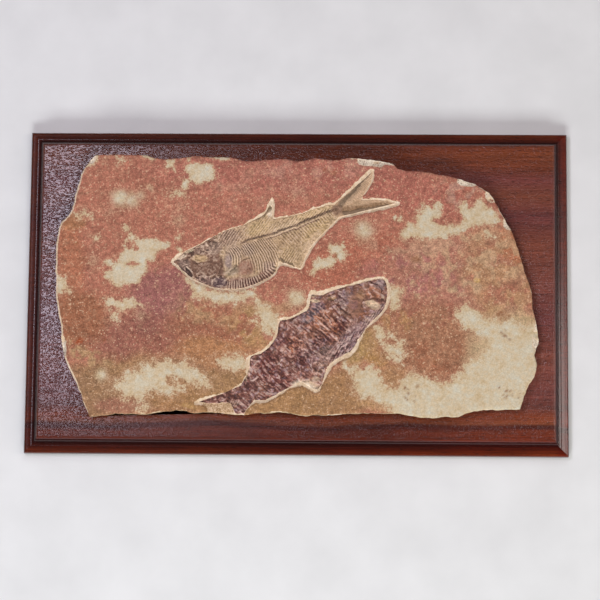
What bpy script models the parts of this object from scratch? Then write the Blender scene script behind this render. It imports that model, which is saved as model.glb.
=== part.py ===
"""Fossil fish slab: a split plate of stained limestone with two prepared fossil fish, on a wooden plaque.

Pieces, each one object: plaque, stone_slab, upper_fish, lower_fish.
Frame: metres, +Z up, origin at the centre of the plaque's flat back. +X runs along the plaque, +Y across it.
"""

import math

import bmesh
import bpy
import numpy as np
from mathutils import Vector, noise

MM = 0.001

# Driving dimensions, in millimetres
PLAQUE_LENGTH = 508.0
PLAQUE_WIDTH = 305.0
PLAQUE_THICKNESS = 22.0
SLAB_THICKNESS = 11.0
HOLLOW_DEPTH = 1.5  # how far the rock around each fish was scraped away
FISH_RELIEF = 1.5  # height of the tallest bones over the hollow's floor
GAP = 0.3  # clearance between pieces that touch

# Moulded edge of the plaque: a vertical side, a rounded bead, a cove and a short fillet under the face
SIDE_HEIGHT = 6.5
BEAD_RADIUS = 2.7
BEAD_SLOPE_RUN = 3.6
BEAD_SLOPE_RISE = 1.4
COVE_RADIUS = 6.2
ARRIS_RADIUS = 2.6

SLAB_BOTTOM = PLAQUE_THICKNESS + GAP
SLAB_TOP = SLAB_BOTTOM + SLAB_THICKNESS
HOLLOW_FLOOR = SLAB_TOP - HOLLOW_DEPTH
FISH_BASE = HOLLOW_FLOOR + GAP

# The four edges of the slab, seen from above. Each runs between two corners of the broken plate.
SLAB_TOP_EDGE = [
    (-190, 126), (-170, 126.5), (-146, 126), (-128, 123), (-113, 123), (-98, 125.5), (-80, 124.5),
    (-62, 124), (-50, 121), (-30, 122), (-14, 122.5), (0, 121), (18, 124), (35, 122), (50, 123.5),
    (68, 122.5), (87, 119), (96, 113.5), (118, 111), (145, 106.5), (166, 100),
]
SLAB_RIGHT_EDGE = [
    (207, -110), (211, -97), (216, -86), (221, -80), (222, -68), (221, -61), (224, -46), (222, -32),
    (219, -18), (218, -3), (211, 20), (206, 36), (201, 52), (191, 71), (184, 84), (179, 91), (166, 100),
]
SLAB_BOTTOM_EDGE = [
    (-190, -120), (-175, -119), (-158, -116.5), (-140, -117.5), (-125, -115.5), (-107, -113.5),
    (-95, -115.5), (-80, -115), (-65, -116), (-48, -117.5), (-30, -115), (-18, -114.5), (15, -117),
    (40, -116.5), (60, -115), (90, -114.5), (105, -117), (125, -118.5), (145, -118), (160, -114),
    (175, -111), (190, -111), (207, -110),
]
SLAB_LEFT_EDGE = [
    (-190, -120), (-193, -114), (-199, -98), (-208, -78), (-215, -62), (-217, -54), (-219, -33),
    (-223, -12), (-225, 20), (-225, 35), (-221, 60), (-213, 70), (-206, 93), (-203, 107), (-197, 117),
    (-190, 126),
]
# Conchoidal flakes struck from the slab's edge: centre x, y, half lengths along and across x, and depth
EDGE_FLAKES = [
    (74, 123.5, 24, 8, 3.0),
    (164, 103, 15, 6, 2.6),
    (183, 90, 8, 7, 3.0),
    (198, 64, 6, 8, 2.4),
    (224, -45, 6, 15, 3.2),
    (-217, -57, 4.5, 12, 5.0),
    (-192, 124, 7, 9, 2.5),
]

# Edges of the two prepared hollows, about 2 mm outside each fish. Both start at the snout.
UPPER_HOLLOW = [
    (-118, 25), (-111, 33.5), (-105, 37), (-92, 41.5), (-82, 48.5), (-70, 55), (-50, 61.5), (-42, 66.5),
    (-33, 72), (-29, 76), (-26.5, 83), (-23.5, 87.5), (-21, 83), (-20, 68.5), (-8, 70), (5, 73.5),
    (15, 77.5), (28, 81.5), (34, 82.5), (42, 89.5), (52, 99.5), (60, 107.5), (68, 114.5), (73, 114),
    (72.5, 105), (68, 95), (62.5, 87), (75, 87), (90, 85.5), (97.5, 83), (96, 78.5), (78, 74), (60, 70),
    (50, 67.5), (42, 65.5), (33, 57.5), (24, 48.5), (16, 39), (10, 28), (5, 16.5), (-3, 18.5),
    (-12, 21.5), (-15.5, 20), (-17.5, 14.5), (-24, 9), (-32, 4.5), (-42, 0.5), (-53, -2.5), (-65, -3),
    (-76, -1.5), (-88, 2.5), (-96, 6.5), (-104, 12), (-111, 18.5),
]
LOWER_HOLLOW = [
    (84, 12), (78, 13.5), (64, 10.5), (52, 7), (38, 4), (26, 0), (20, -1.5), (14.5, -0.5), (11, -4),
    (9, -15), (2, -20.5), (-7, -25), (-18, -27), (-19.5, -40), (-26, -52), (-34, -58), (-42, -60.5),
    (-46, -66), (-46.5, -80), (-54, -89), (-64, -95), (-80, -100), (-94, -104.5), (-94, -108.5),
    (-84, -110.5), (-74, -123), (-52, -124), (-44.5, -115), (-36.5, -106.5), (-28, -107), (-12, -99),
    (-2, -93), (6, -91.5), (18, -98.5), (23, -96), (30, -82), (35, -72.5), (47, -66), (56, -60),
    (61, -49), (67, -38), (77, -28.5), (85, -19), (88, -8), (87.5, 5),
]

# Each fish is lofted over stations from snout to tail root. A station is one line across the body, which
# follows a rib: its point on the lower edge, its point on the backbone and its point on the upper edge.
UPPER_FISH_STATIONS = [
    ((-113.5, 24), (-114.5, 25), (-113.5, 26.5)),
    ((-108, 18.5), (-106, 26), (-105, 34)),
    ((-101, 12.5), (-97, 28.5), (-98, 38)),
    ((-93, 7.5), (-88, 32), (-89, 42.5)),
    ((-84, 3.5), (-79, 35), (-80, 48)),
    ((-74, 0.5), (-71, 37.5), (-71, 53)),
    ((-64, -0.5), (-65, 39), (-63, 56.5)),
    ((-53, 0), (-58, 41), (-55, 59)),
    ((-42, 3), (-50, 43.5), (-47, 62)),
    ((-32, 7), (-41, 46.5), (-39, 66)),
    ((-24, 11.5), (-34, 48.5), (-31, 71)),
    ((-18.5, 17), (-28, 50), (-24, 84)),
    ((-16, 25), (-22, 52), (-21.5, 66.5)),
    ((-12, 24), (-15, 54), (-12, 68)),
    ((-4, 21), (-8, 56.5), (-4, 70)),
    ((3.5, 18.5), (-1, 59), (4, 71.5)),
    ((8, 29), (6, 62), (10, 74)),
    ((14, 40.5), (13, 65), (17, 76.5)),
    ((22.5, 50), (20, 67.5), (24, 78.5)),
    ((31.5, 59), (27, 70.5), (29.5, 80)),
    ((39.5, 67.5), (34, 73), (34, 80)),
]
UPPER_TAIL_EDGE = [(94, 81), (84, 84), (72, 85), (60.5, 84.5), (64.5, 93), (69.5, 103), (71, 112.5)]
LOWER_FISH_STATIONS = [
    ((85, -6), (84.5, 3), (81, 10.5)),
    ((83, -15), (77, -1), (74, 10)),
    ((77, -24), (66, -7), (64, 7.5)),
    ((69, -31.5), (55, -13), (53, 4.5)),
    ((62, -41), (44, -20), (42, 2)),
    ((57, -49), (34, -27), (32, -1.5)),
    ((52, -57), (25, -34), (22, -5)),
    ((42, -63), (17, -40), (14, -4)),
    ((33, -69), (9, -46), (11, -18)),
    ((28, -77), (1, -53), (1, -24)),
    ((25, -88), (-7, -59), (-8, -28)),
    ((18.5, -94.5), (-14, -66), (-16, -29.5)),
    ((5, -87), (-21, -72), (-17.5, -42)),
    ((-4, -91), (-27, -77), (-25, -54)),
    ((-13, -96.5), (-34, -83), (-33, -60)),
    ((-22, -101), (-40, -88), (-42, -63.5)),
    ((-29, -104), (-45, -92), (-44, -76)),
    ((-38, -104), (-47, -96), (-51, -90)),
]
LOWER_TAIL_EDGE = [
    (-47, -116.5), (-55, -116.5), (-58, -111), (-60, -107), (-66, -106.5), (-78, -107), (-91, -106),
]

RIB_BOW = 3.0  # how far a rib bends tailwards between backbone and belly
BOW_FROM = 4  # the station where the ribs begin to bow
BOW_EASE = 3  # stations over which the bow grows, and fades again


def clear_scene():
    for item in list(bpy.data.objects):
        bpy.data.objects.remove(item)


def material(name, colour, roughness):
    """A Principled material of one plain colour, given as linear red, green and blue."""
    made = bpy.data.materials.new(name)
    made.use_nodes = True
    shader = made.node_tree.nodes["Principled BSDF"]
    shader.inputs["Base Color"].default_value = (*colour, 1.0)
    shader.inputs["Roughness"].default_value = roughness
    shader.inputs["Metallic"].default_value = 0.0
    return made


def solid(name, vertices, faces, finish=None):
    """An object from vertices in millimetres, with its faces turned outwards."""
    mesh = bpy.data.meshes.new(name)
    mesh.from_pydata([Vector(v) * MM for v in vertices], [], faces)
    work = bmesh.new()
    work.from_mesh(mesh)
    bmesh.ops.recalc_face_normals(work, faces=work.faces)
    work.to_mesh(mesh)
    work.free()
    made = bpy.data.objects.new(name, mesh)
    bpy.context.scene.collection.objects.link(made)
    if finish:
        mesh.materials.append(finish)
    return made


def cut(target, cutter):
    """Subtracts cutter from target with a Boolean modifier, and hides the cutter."""
    cutter.hide_render = True
    cutter.display_type = "WIRE"
    step = target.modifiers.new(cutter.name, "BOOLEAN")
    step.operation = "DIFFERENCE"
    step.solver = "EXACT"
    step.object = cutter


def smooth_curve(points, at):
    """Points of a monotone cubic through the given points, at positions counted from 0 in point numbers.

    Each coordinate has its own cubic between neighbours. Its slope at a point is the harmonic mean of the
    slopes on both sides, or zero where they turn, so the curve never swings past its points."""
    points = np.asarray(points, float)
    rise = np.diff(points, axis=0)
    before, after = rise[:-1], rise[1:]
    together = before * after > 0
    total = np.where(together, before + after, 1.0)
    slope = np.zeros_like(points)
    slope[1:-1] = np.where(together, 2 * before * after / total, 0.0)
    slope[0], slope[-1] = rise[0], rise[-1]
    at = np.clip(np.asarray(at, float), 0, len(points) - 1)
    index = np.minimum(at.astype(int), len(points) - 2)
    t = (at - index)[:, None]
    return (
        points[index] * (2 * t**3 - 3 * t**2 + 1)
        + slope[index] * (t**3 - 2 * t**2 + t)
        + points[index + 1] * (3 * t**2 - 2 * t**3)
        + slope[index + 1] * (t**3 - t**2)
    )


def by_length(points, shares):
    """Points of the smooth curve at the given shares of its length, 0 to 1."""
    at = np.linspace(0, len(points) - 1, 40 * len(points))
    fine = smooth_curve(points, at)
    run = np.concatenate([[0], np.cumsum(np.linalg.norm(np.diff(fine, axis=0), axis=1))])
    return smooth_curve(points, np.interp(np.asarray(shares) * run[-1], run, at))


def closed_ring(points, per_point=2):
    """The smooth closed curve through the points, with per_point corners for each of them."""
    count = len(points)
    wrapped = [*points[-2:], *points, *points[:2]]
    return smooth_curve(wrapped, 2 + np.arange(count * per_point) / per_point)


def grow(ring, distance):
    """The ring with every corner moved outwards, square to its neighbours' line."""
    along = np.roll(ring, -1, axis=0) - np.roll(ring, 1, axis=0)
    out = np.stack([along[:, 1], -along[:, 0]], axis=1)
    out /= np.linalg.norm(out, axis=1)[:, None]
    turn = np.sum(ring[:, 0] * np.roll(ring[:, 1], -1) - np.roll(ring[:, 0], -1) * ring[:, 1])
    return ring + out * distance * math.copysign(1, turn)


def stacked_rings(name, rings, finish=None):
    """A closed solid skinned over rings of equal corner counts, each (n, 3), capped flat at both ends."""
    count = len(rings[0])
    faces = [tuple(range(count)), tuple(range((len(rings) - 1) * count, len(rings) * count))]
    for level in range(len(rings) - 1):
        low, high = level * count, (level + 1) * count
        for i in range(count):
            j = (i + 1) % count
            faces.append((low + i, low + j, high + j, high + i))
    return solid(name, np.concatenate(rings), faces, finish)


def at_height(ring, height):
    return np.column_stack([ring, np.full(len(ring), height)])


# --- Plaque ---------------------------------------------------------------------------------------


def arc(centre, radius, start, end, steps=6):
    """Points of an arc as (inset, height), its angles in degrees from the inset axis."""
    angles = np.radians(np.linspace(start, end, steps + 1))
    return [(centre[0] + radius * math.cos(a), centre[1] + radius * math.sin(a)) for a in angles]


def moulding_profile():
    """The routed edge as (inset from the outer edge, height), from the back up to the face."""
    bead_top = SIDE_HEIGHT + BEAD_RADIUS
    cove_foot = (BEAD_RADIUS + BEAD_SLOPE_RUN, bead_top + BEAD_SLOPE_RISE)
    cove_inset = cove_foot[0] + COVE_RADIUS
    bead = arc((BEAD_RADIUS, SIDE_HEIGHT), BEAD_RADIUS, 180, 90)
    cove = arc((cove_foot[0], cove_foot[1] + COVE_RADIUS), COVE_RADIUS, -90, 0)
    face_edge = arc((cove_inset + ARRIS_RADIUS, PLAQUE_THICKNESS - ARRIS_RADIUS), ARRIS_RADIUS, 180, 90, 3)
    return [(0, 0), *bead, *cove, *face_edge]


def build_plaque(finish):
    rings = []
    for inset, height in moulding_profile():
        x, y = PLAQUE_LENGTH / 2 - inset, PLAQUE_WIDTH / 2 - inset
        rings.append(at_height(np.array([(-x, -y), (x, -y), (x, y), (-x, y)]), height))
    return stacked_rings("plaque", rings, finish)


# --- Stone slab -----------------------------------------------------------------------------------

SLAB_COLUMNS = 40
SLAB_ROWS = 22
EDGE_SHARE = 0.006  # width of the worn edge, as a share of the slab's length
EDGE_DROP = 0.9  # how far the worn edge falls away
UNDULATION = 0.35  # swell of the split face
UNDULATION_LENGTH = 60.0  # from one swell to the next
# Split sides, from the top down: height as a share of the thickness, and mean set-back
SIDE_STEPS = [(0.62, 0.2), (0.55, 1.4), (0.25, 0.9), (0.0, 2.6)]
SIDE_ROUGHNESS = 0.8  # how far the split sides wander in and out
SIDE_ROUGHNESS_LENGTH = 14.0
LAYER_SHIFT = 30.0  # moves the wander along from one layer of the rock to the next
WALL_LEAN = 0.7  # how far a hollow's wall leans outwards
FLAKE_SIDES = 12
FLAKE_RINGS = (0.98, 0.8, 0.45, 0.0)  # depths of a flake's rings, as shares of its own
CUTTER_RISE = 3.0  # how far a cutter stands above the slab


def shares(count):
    """Grid lines across the slab: even, with a narrow strip along either edge for the worn edge."""
    return np.concatenate([[0], np.linspace(EDGE_SHARE, 1 - EDGE_SHARE, count - 1), [1]])


def swell(x, y):
    return UNDULATION * noise.noise(Vector((x, y, 7.0)) / UNDULATION_LENGTH)


def slab_grid():
    """Top face as rows of (x, y): a Coons patch, the blend of the four edges that meets each of them."""
    a, b = shares(SLAB_COLUMNS), shares(SLAB_ROWS)
    bottom, top = by_length(SLAB_BOTTOM_EDGE, a), by_length(SLAB_TOP_EDGE, a)
    left, right = by_length(SLAB_LEFT_EDGE, b), by_length(SLAB_RIGHT_EDGE, b)
    u, v = a[None, :, None], b[:, None, None]
    corners = (
        (1 - u) * (1 - v) * bottom[0] + u * (1 - v) * bottom[-1] + (1 - u) * v * top[0] + u * v * top[-1]
    )
    return (1 - v) * bottom + v * top + (1 - u) * left[:, None] + u * right[:, None] - corners


def build_slab(finish):
    grid = slab_grid()
    rows, columns = grid.shape[:2]
    vertices = []
    for r in range(rows):
        for c in range(columns):
            x, y = grid[r, c]
            edge = r in (0, rows - 1) or c in (0, columns - 1)
            vertices.append((x, y, SLAB_TOP + swell(x, y) - (EDGE_DROP if edge else 0.0)))
    index = np.arange(rows * columns).reshape(rows, columns)
    faces = [
        (index[r, c], index[r, c + 1], index[r + 1, c + 1], index[r + 1, c])
        for r in range(rows - 1)
        for c in range(columns - 1)
    ]
    rim = [*index[0, :-1], *index[:-1, -1], *index[-1, :0:-1], *index[:0:-1, 0]]
    outline = np.array([vertices[i][:2] for i in rim])
    above = rim
    for level, (share, set_back) in enumerate(SIDE_STEPS):
        rough = [
            noise.noise(Vector((x, y, LAYER_SHIFT * level)) / SIDE_ROUGHNESS_LENGTH) for x, y in outline
        ]
        ring = outline + (grow(outline, -1.0) - outline) * (
            set_back + SIDE_ROUGHNESS * np.array(rough)[:, None]
        )
        first = len(vertices)
        vertices += [(x, y, SLAB_BOTTOM + share * SLAB_THICKNESS) for x, y in ring]
        below = list(range(first, first + len(rim)))
        for i in range(len(rim)):
            j = (i + 1) % len(rim)
            faces.append((above[i], above[j], below[j], below[i]))
        above = below
    faces.append(tuple(above))
    slab = solid("stone_slab", vertices, [tuple(map(int, f)) for f in faces], finish)
    cut(slab, hollow_cutter("upper_hollow", UPPER_HOLLOW))
    cut(slab, hollow_cutter("lower_hollow", LOWER_HOLLOW))
    for number, flake in enumerate(EDGE_FLAKES):
        cut(slab, flake_cutter(f"flake_{number + 1}", *flake))
    return slab


def hollow_cutter(name, outline):
    """The space scraped out round a fish: flat floored, with walls that lean outwards."""
    floor = closed_ring(outline)
    return stacked_rings(
        name,
        [
            at_height(floor, HOLLOW_FLOOR),
            at_height(grow(floor, WALL_LEAN), SLAB_TOP),
            at_height(grow(floor, WALL_LEAN), SLAB_TOP + CUTTER_RISE),
        ],
    )


def flake_cutter(name, x, y, half_x, half_y, depth):
    """The lower half of an ellipsoid, which leaves a shell-shaped scar when it is cut from the edge."""
    rings = []
    turn = np.linspace(0, 2 * math.pi, FLAKE_SIDES, endpoint=False)
    for share in FLAKE_RINGS:
        wide = math.sqrt(1 - share**2)
        ring = np.column_stack([x + half_x * wide * np.cos(turn), y + half_y * wide * np.sin(turn)])
        rings.append(at_height(ring, SLAB_TOP - depth * share))
    rings.append(rings[-1] + (0, 0, CUTTER_RISE))
    return stacked_rings(name, rings)


# --- Fish -----------------------------------------------------------------------------------------

# Places of a fish's rows, from its lower edge at -1 over the backbone at 0 to its upper edge at 1
ACROSS = np.array([-1, -0.94, -0.78, -0.56, -0.34, -0.1, 0.0, 0.1, 0.34, 0.62, 0.92, 1])
TAIL_STEPS = (0.15, 0.35, 0.6, 0.85, 1.0)  # places of the tail's columns, from its root to its edge
EDGE_HEIGHT = 0.25  # thickness of a fin's margin


def across_body(stations, at):
    """Points over the body as (columns, rows, 2): a parabola through each station's three points.

    Below the backbone each line is pushed tailwards by the bow of the ribs."""
    lower, spine, upper = (smooth_curve([s[k] for s in stations], at)[:, None] for k in range(3))
    v = ACROSS[None, :, None]
    plain = lower * v * (v - 1) / 2 + spine * (1 - v**2) + upper * v * (v + 1) / 2
    tailwards = np.sign(stations[-1][1][0] - stations[0][1][0])
    ribbed = np.clip(np.minimum(at - BOW_FROM, len(stations) - 1 - at) / BOW_EASE, 0, 1)[:, None]
    bow = RIB_BOW * ribbed * 4 * np.clip(-v[:, :, 0], 0, 1) * np.clip(1 + v[:, :, 0], 0, 1)
    plain[:, :, 0] += tailwards * bow
    return plain


def across_tail(root, edge):
    """Points over the tail as (columns, rows, 2): rays fan from the root column to the tail's edge."""
    tips = smooth_curve(edge, (ACROSS + 1) / 2 * (len(edge) - 1))
    w = np.array(TAIL_STEPS)[:, None, None]
    return root * (1 - w) + tips * w


def build_fish(name, stations, tail_edge, at, height, finish):
    """A closed solid: a relief of bones over the loft, on a flat base.

    height(column, at, across) gives the relief at each point of the grid, as a share of FISH_RELIEF."""
    body = across_body(stations, at)
    grid = np.concatenate([body, across_tail(body[-1], tail_edge)])
    columns, rows = grid.shape[:2]
    along = np.concatenate([at, at[-1] + np.array(TAIL_STEPS)])
    top = [
        (*grid[c, r], FISH_BASE + EDGE_HEIGHT + FISH_RELIEF * height(c, along[c], ACROSS[r]))
        for c in range(columns)
        for r in range(rows)
    ]
    index = np.arange(columns * rows).reshape(columns, rows)
    rim = [*index[:-1, 0], *index[-1, :-1], *index[:0:-1, -1], *index[0, :0:-1]]
    base = list(range(len(top), len(top) + len(rim)))
    vertices = top + [(top[i][0], top[i][1], FISH_BASE) for i in rim]
    faces = [
        (index[c, r], index[c + 1, r], index[c + 1, r + 1], index[c, r + 1])
        for c in range(columns - 1)
        for r in range(rows - 1)
    ]
    for i in range(len(rim)):
        j = (i + 1) % len(rim)
        faces.append((rim[i], rim[j], base[j], base[i]))
    faces.append(tuple(base))
    return solid(name, vertices, [tuple(map(int, f)) for f in faces], finish)


def bump(x, centre, width):
    """A rounded hump of height 1 at centre, which reaches zero a width away."""
    t = min(1.0, abs(x - centre) / width)
    return (1 - t * t) ** 2


def upper_relief(column, at, across):
    """Bones of the herring-like fish: skull, eye socket, gill cover, backbone, ribs and finer fin rays."""
    head, tail_root = 5.0, 20.0
    margin = 1 - abs(across) ** 4
    ridge = 1.0 if column % 2 else 0.0
    if at <= head:
        eye = 0.55 * bump(at, 2.6, 0.7) * bump(across, 0.1, 0.3)
        jaw = 0.3 * bump(at, 1.2 - across, 0.5) * (across < 0)
        gill_cover = 0.35 * bump(at, head - 0.4 - 0.7 * across**2, 0.6) * (across < 0.5)
        return margin * (0.5 + gill_cover + jaw - eye)
    if at > tail_root:
        return 0.12 + 0.25 * abs(across) * (at < tail_root + 0.9) * margin
    spine = 0.55 * bump(across, 0.0, 0.12)
    ribs = (0.42 if at < 12 else 0.22) * ridge * (abs(across) > 0.05)
    return margin * (0.2 + max(spine, ribs))


def lower_relief(column, at, across):
    """Bones of the perch-like fish: lumpy skull, eye socket, gill cover, crushed ribs and thick scales."""
    head, tail_root = 3.6, 17.0
    margin = 1 - abs(across) ** 4
    lumps = noise.noise(Vector((at * 2.3, across * 4.0, 3.0)))
    if at <= head:
        eye = 0.55 * bump(at, 1.45, 0.55) * bump(across, -0.5, 0.35)
        gill_cover = 0.3 * bump(at, head - 0.3 - 0.5 * across**2, 0.5)
        return margin * (0.55 + 0.3 * lumps + gill_cover - eye)
    if at > tail_root:
        return 0.15 + 0.2 * margin * (at < tail_root + 0.9)
    spine = 0.25 * bump(across, 0.0, 0.15)
    ridge = 0.3 if column % 2 else 0.0
    return margin * (0.38 + 0.35 * lumps + max(ridge, spine))


def spread(*runs):
    """Places of a fish's columns: each run is (from, to, steps), and the runs follow on."""
    parts = [np.linspace(start, end, steps, endpoint=False) for start, end, steps in runs]
    return np.concatenate([*parts, [runs[-1][1]]])


def build_both_fish(upper_finish, lower_finish):
    upper_at = spread((0, 5, 15), (5, 12, 42), (12, 20, 26))
    build_fish("upper_fish", UPPER_FISH_STATIONS, UPPER_TAIL_EDGE, upper_at, upper_relief, upper_finish)
    lower_at = spread((0, 3.6, 15), (3.6, 17, 58))
    build_fish("lower_fish", LOWER_FISH_STATIONS, LOWER_TAIL_EDGE, lower_at, lower_relief, lower_finish)


clear_scene()
build_plaque(material("stained wood", (0.12, 0.032, 0.018), 0.35))
build_slab(material("stained limestone", (0.42, 0.19, 0.11), 0.85))
build_both_fish(
    material("brown bone in tan rock", (0.28, 0.2, 0.12), 0.7),
    material("dark red brown bone", (0.12, 0.06, 0.05), 0.65),
)
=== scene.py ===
"""Fossil fish slab: two fossil fish in a plate of stained limestone, mounted on a moulded wooden plaque."""

import math

import bpy
import numpy as np
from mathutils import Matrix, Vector


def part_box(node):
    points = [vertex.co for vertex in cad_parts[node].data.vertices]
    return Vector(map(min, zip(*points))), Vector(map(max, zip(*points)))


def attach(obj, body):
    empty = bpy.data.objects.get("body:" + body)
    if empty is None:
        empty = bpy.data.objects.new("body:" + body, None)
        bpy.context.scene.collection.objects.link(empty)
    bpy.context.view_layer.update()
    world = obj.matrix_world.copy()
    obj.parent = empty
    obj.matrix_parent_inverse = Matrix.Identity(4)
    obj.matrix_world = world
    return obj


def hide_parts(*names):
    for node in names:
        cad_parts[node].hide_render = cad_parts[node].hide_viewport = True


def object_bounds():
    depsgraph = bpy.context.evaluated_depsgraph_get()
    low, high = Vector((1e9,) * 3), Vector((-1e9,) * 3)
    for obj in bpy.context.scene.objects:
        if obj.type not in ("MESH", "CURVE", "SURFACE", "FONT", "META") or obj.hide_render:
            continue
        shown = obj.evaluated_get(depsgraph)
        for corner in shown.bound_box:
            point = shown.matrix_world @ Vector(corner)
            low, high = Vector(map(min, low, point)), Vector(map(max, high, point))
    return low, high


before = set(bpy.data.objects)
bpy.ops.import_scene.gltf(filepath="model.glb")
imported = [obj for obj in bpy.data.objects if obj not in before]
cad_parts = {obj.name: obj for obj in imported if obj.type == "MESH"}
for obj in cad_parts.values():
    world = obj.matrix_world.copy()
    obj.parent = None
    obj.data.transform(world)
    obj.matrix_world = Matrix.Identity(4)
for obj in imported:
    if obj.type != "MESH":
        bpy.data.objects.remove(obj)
CAD_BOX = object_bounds()

# ---- Plaque --------------------------------------------------------------------------------------
# One board of walnut with its grain along the length. A router has run a bead and a cove round its
# edge, and it is stained red-brown under satin lacquer. It lies on its flat back.

MM = 0.001  # every size below is in millimetres, and this turns it to metres
HALF_LENGTH, HALF_WIDTH, FACE_HEIGHT = (float(side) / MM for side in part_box("plaque")[1])
SIDE_HEIGHT = 6.5
BEAD_RADIUS = 2.7
BEAD_SLOPE = (3.6, 1.4)  # run and rise of the slope between the bead and the cove
COVE_RADIUS = 6.2
ARRIS_RADIUS = 2.6
BACK_ARRIS = [(0.8, 0), (0.2, 0.2), (0, 0.8)]  # the back's edge, just broken with sandpaper


def arc(centre, radius, start, end, steps):
    """Points (inset, height) of a circle's arc, its angles in degrees from the inset axis."""
    turn = np.radians(np.linspace(start, end, steps + 1))
    return np.stack([centre[0] + radius * np.cos(turn), centre[1] + radius * np.sin(turn)], axis=1)


def moulded_edge():
    """The routed profile as rows of (inset, height), from the back up to the face."""
    bead = arc((BEAD_RADIUS, SIDE_HEIGHT), BEAD_RADIUS, 180, 90, 10)
    foot = bead[-1] + BEAD_SLOPE
    cove = arc(foot + (0, COVE_RADIUS), COVE_RADIUS, -90, 0, 14)
    rim = arc((cove[-1, 0] + ARRIS_RADIUS, FACE_HEIGHT - ARRIS_RADIUS), ARRIS_RADIUS, 180, 90, 6)
    return np.concatenate([BACK_ARRIS, bead, cove, rim])


def board():
    """Points and faces of the board: the profile carried round four mitred corners, and closed by a back and
    a face."""
    inset, height = moulded_edge().T
    corner = np.array([(-1, -1), (1, -1), (1, 1), (-1, 1)])
    flat = corner * (np.array([HALF_LENGTH, HALF_WIDTH]) - inset[:, None, None])
    points = np.concatenate([flat, np.repeat(height, 4).reshape(-1, 4, 1)], axis=2).reshape(-1, 3)
    ring = 4 * np.arange(len(inset) - 1)[:, None]
    here, there = ring + np.arange(4), ring + np.roll(np.arange(4), -1)
    bands = np.stack([here, there, there + 4, here + 4], axis=2).reshape(-1, 4)
    last = len(points) - 4
    return points, [*bands.tolist(), [3, 2, 1, 0], [last, last + 1, last + 2, last + 3]]


def linear(colour):
    """Linear red, green, blue and alpha of a hex colour."""
    channels = np.array([int(colour[k : k + 2], 16) for k in (1, 3, 5)]) / 255
    channels = np.where(channels <= 0.04045, channels / 12.92, ((channels + 0.055) / 1.055) ** 2.4)
    return (*channels.tolist(), 1.0)


def rgb(colour):
    """Linear red, green and blue of a hex colour, as an array."""
    return np.array(linear(colour)[:3])


def add(tree, kind, settings, inputs):
    """Adds one shader node. An input is a value, or the socket that feeds it. The setting stops holds the
    places and colours of a ramp."""
    made = tree.nodes.new("ShaderNode" + kind)
    for name, value in settings.items():
        if name == "stops":
            while len(made.color_ramp.elements) < len(value):
                made.color_ramp.elements.new(1.0)
            for element, (place, colour) in zip(made.color_ramp.elements, value):
                element.position = place
                element.color = linear(colour)
        else:
            setattr(made, name, value)
    for name, value in inputs.items():
        if isinstance(value, bpy.types.NodeSocket):
            tree.links.new(value, made.inputs[name])
        else:
            made.inputs[name].default_value = value
    return made


def new_finish(name):
    """A material with its node tree, its shader and its Object coordinates in millimetres."""
    finish = bpy.data.materials.new(name)
    finish.use_nodes = True
    tree = finish.node_tree
    place = add(tree, "TexCoord", {}, {}).outputs["Object"]
    place = add(tree, "VectorMath", {"operation": "SCALE"}, {0: place, "Scale": 1 / MM}).outputs[0]
    return finish, tree, tree.nodes["Principled BSDF"], place


# Two ways to mix colours: one multiplied by the other, or one laid over the other
TINTED = {"data_type": "RGBA", "blend_type": "MULTIPLY"}
BLENDED = {"data_type": "RGBA"}
# Colours across the board, by the distance from its middle: they lie in the streaks of the grain
GRAIN = [
    (-152, "#7A3A1E"), (-146, "#6A2C18"), (-140, "#6E2C18"), (-136, "#6B2A14"), (-131, "#6C2E1A"),
    (-128.5, "#4E1C12"), (-125.5, "#502014"), (-123.8, "#7C4228"), (-120, "#854024"), (-114, "#743620"),
    (-108, "#69382E"), (-92, "#753E36"), (-60, "#7C4335"), (-25, "#6C3834"), (10, "#774136"),
    (45, "#7B4232"), (70, "#693633"), (90, "#7B4230"), (106, "#713A34"), (118, "#763A24"),
    (130, "#7C3E22"), (140, "#703420"), (152, "#7A3C20"),
]
GRAIN_DRIFT = 7.0  # how far a streak wanders across the board
GRAIN_RUN = 130.0  # over what length it wanders
# Painted shade along the board: darker and cooler over its left two thirds, which holds the slab's shadow on
# the margins above and below it, and darker and redder in its right moulding
SHADE_ALONG_BOARD = [
    (-254, "#D4D0D8"), (-182.9, "#D0CCD6"), (-101.6, "#D0CCD2"), (-25.4, "#CCBCB4"), (76.2, "#CABAB0"),
    (152.4, "#F0E8E4"), (193.0, "#FCF8F6"), (241.8, "#FCF8F6"), (245.9, "#E8B4A6"),
]
# Painted shade in the moulding, by height: darker than the face all over, lightest on the bead, darkest in
# the cove, and lighter again up the rim
SHADE_UP_MOULDING = [
    (0, "#B08070"), (6.16, "#C49478"), (8.8, "#E4C6A0"), (10.34, "#C8A080"), (11.44, "#783A2C"),
    (13.2, "#803C2C"), (18.92, "#A05A48"), (20.9, "#D8AC98"), (21.78, "#FFFFFF"),
]


def stops_between(low, high, colours):
    """A ramp's stops from distances in millimetres, the ramp running from low to high."""
    return [((at - low) / (high - low), colour) for at, colour in colours]


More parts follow.
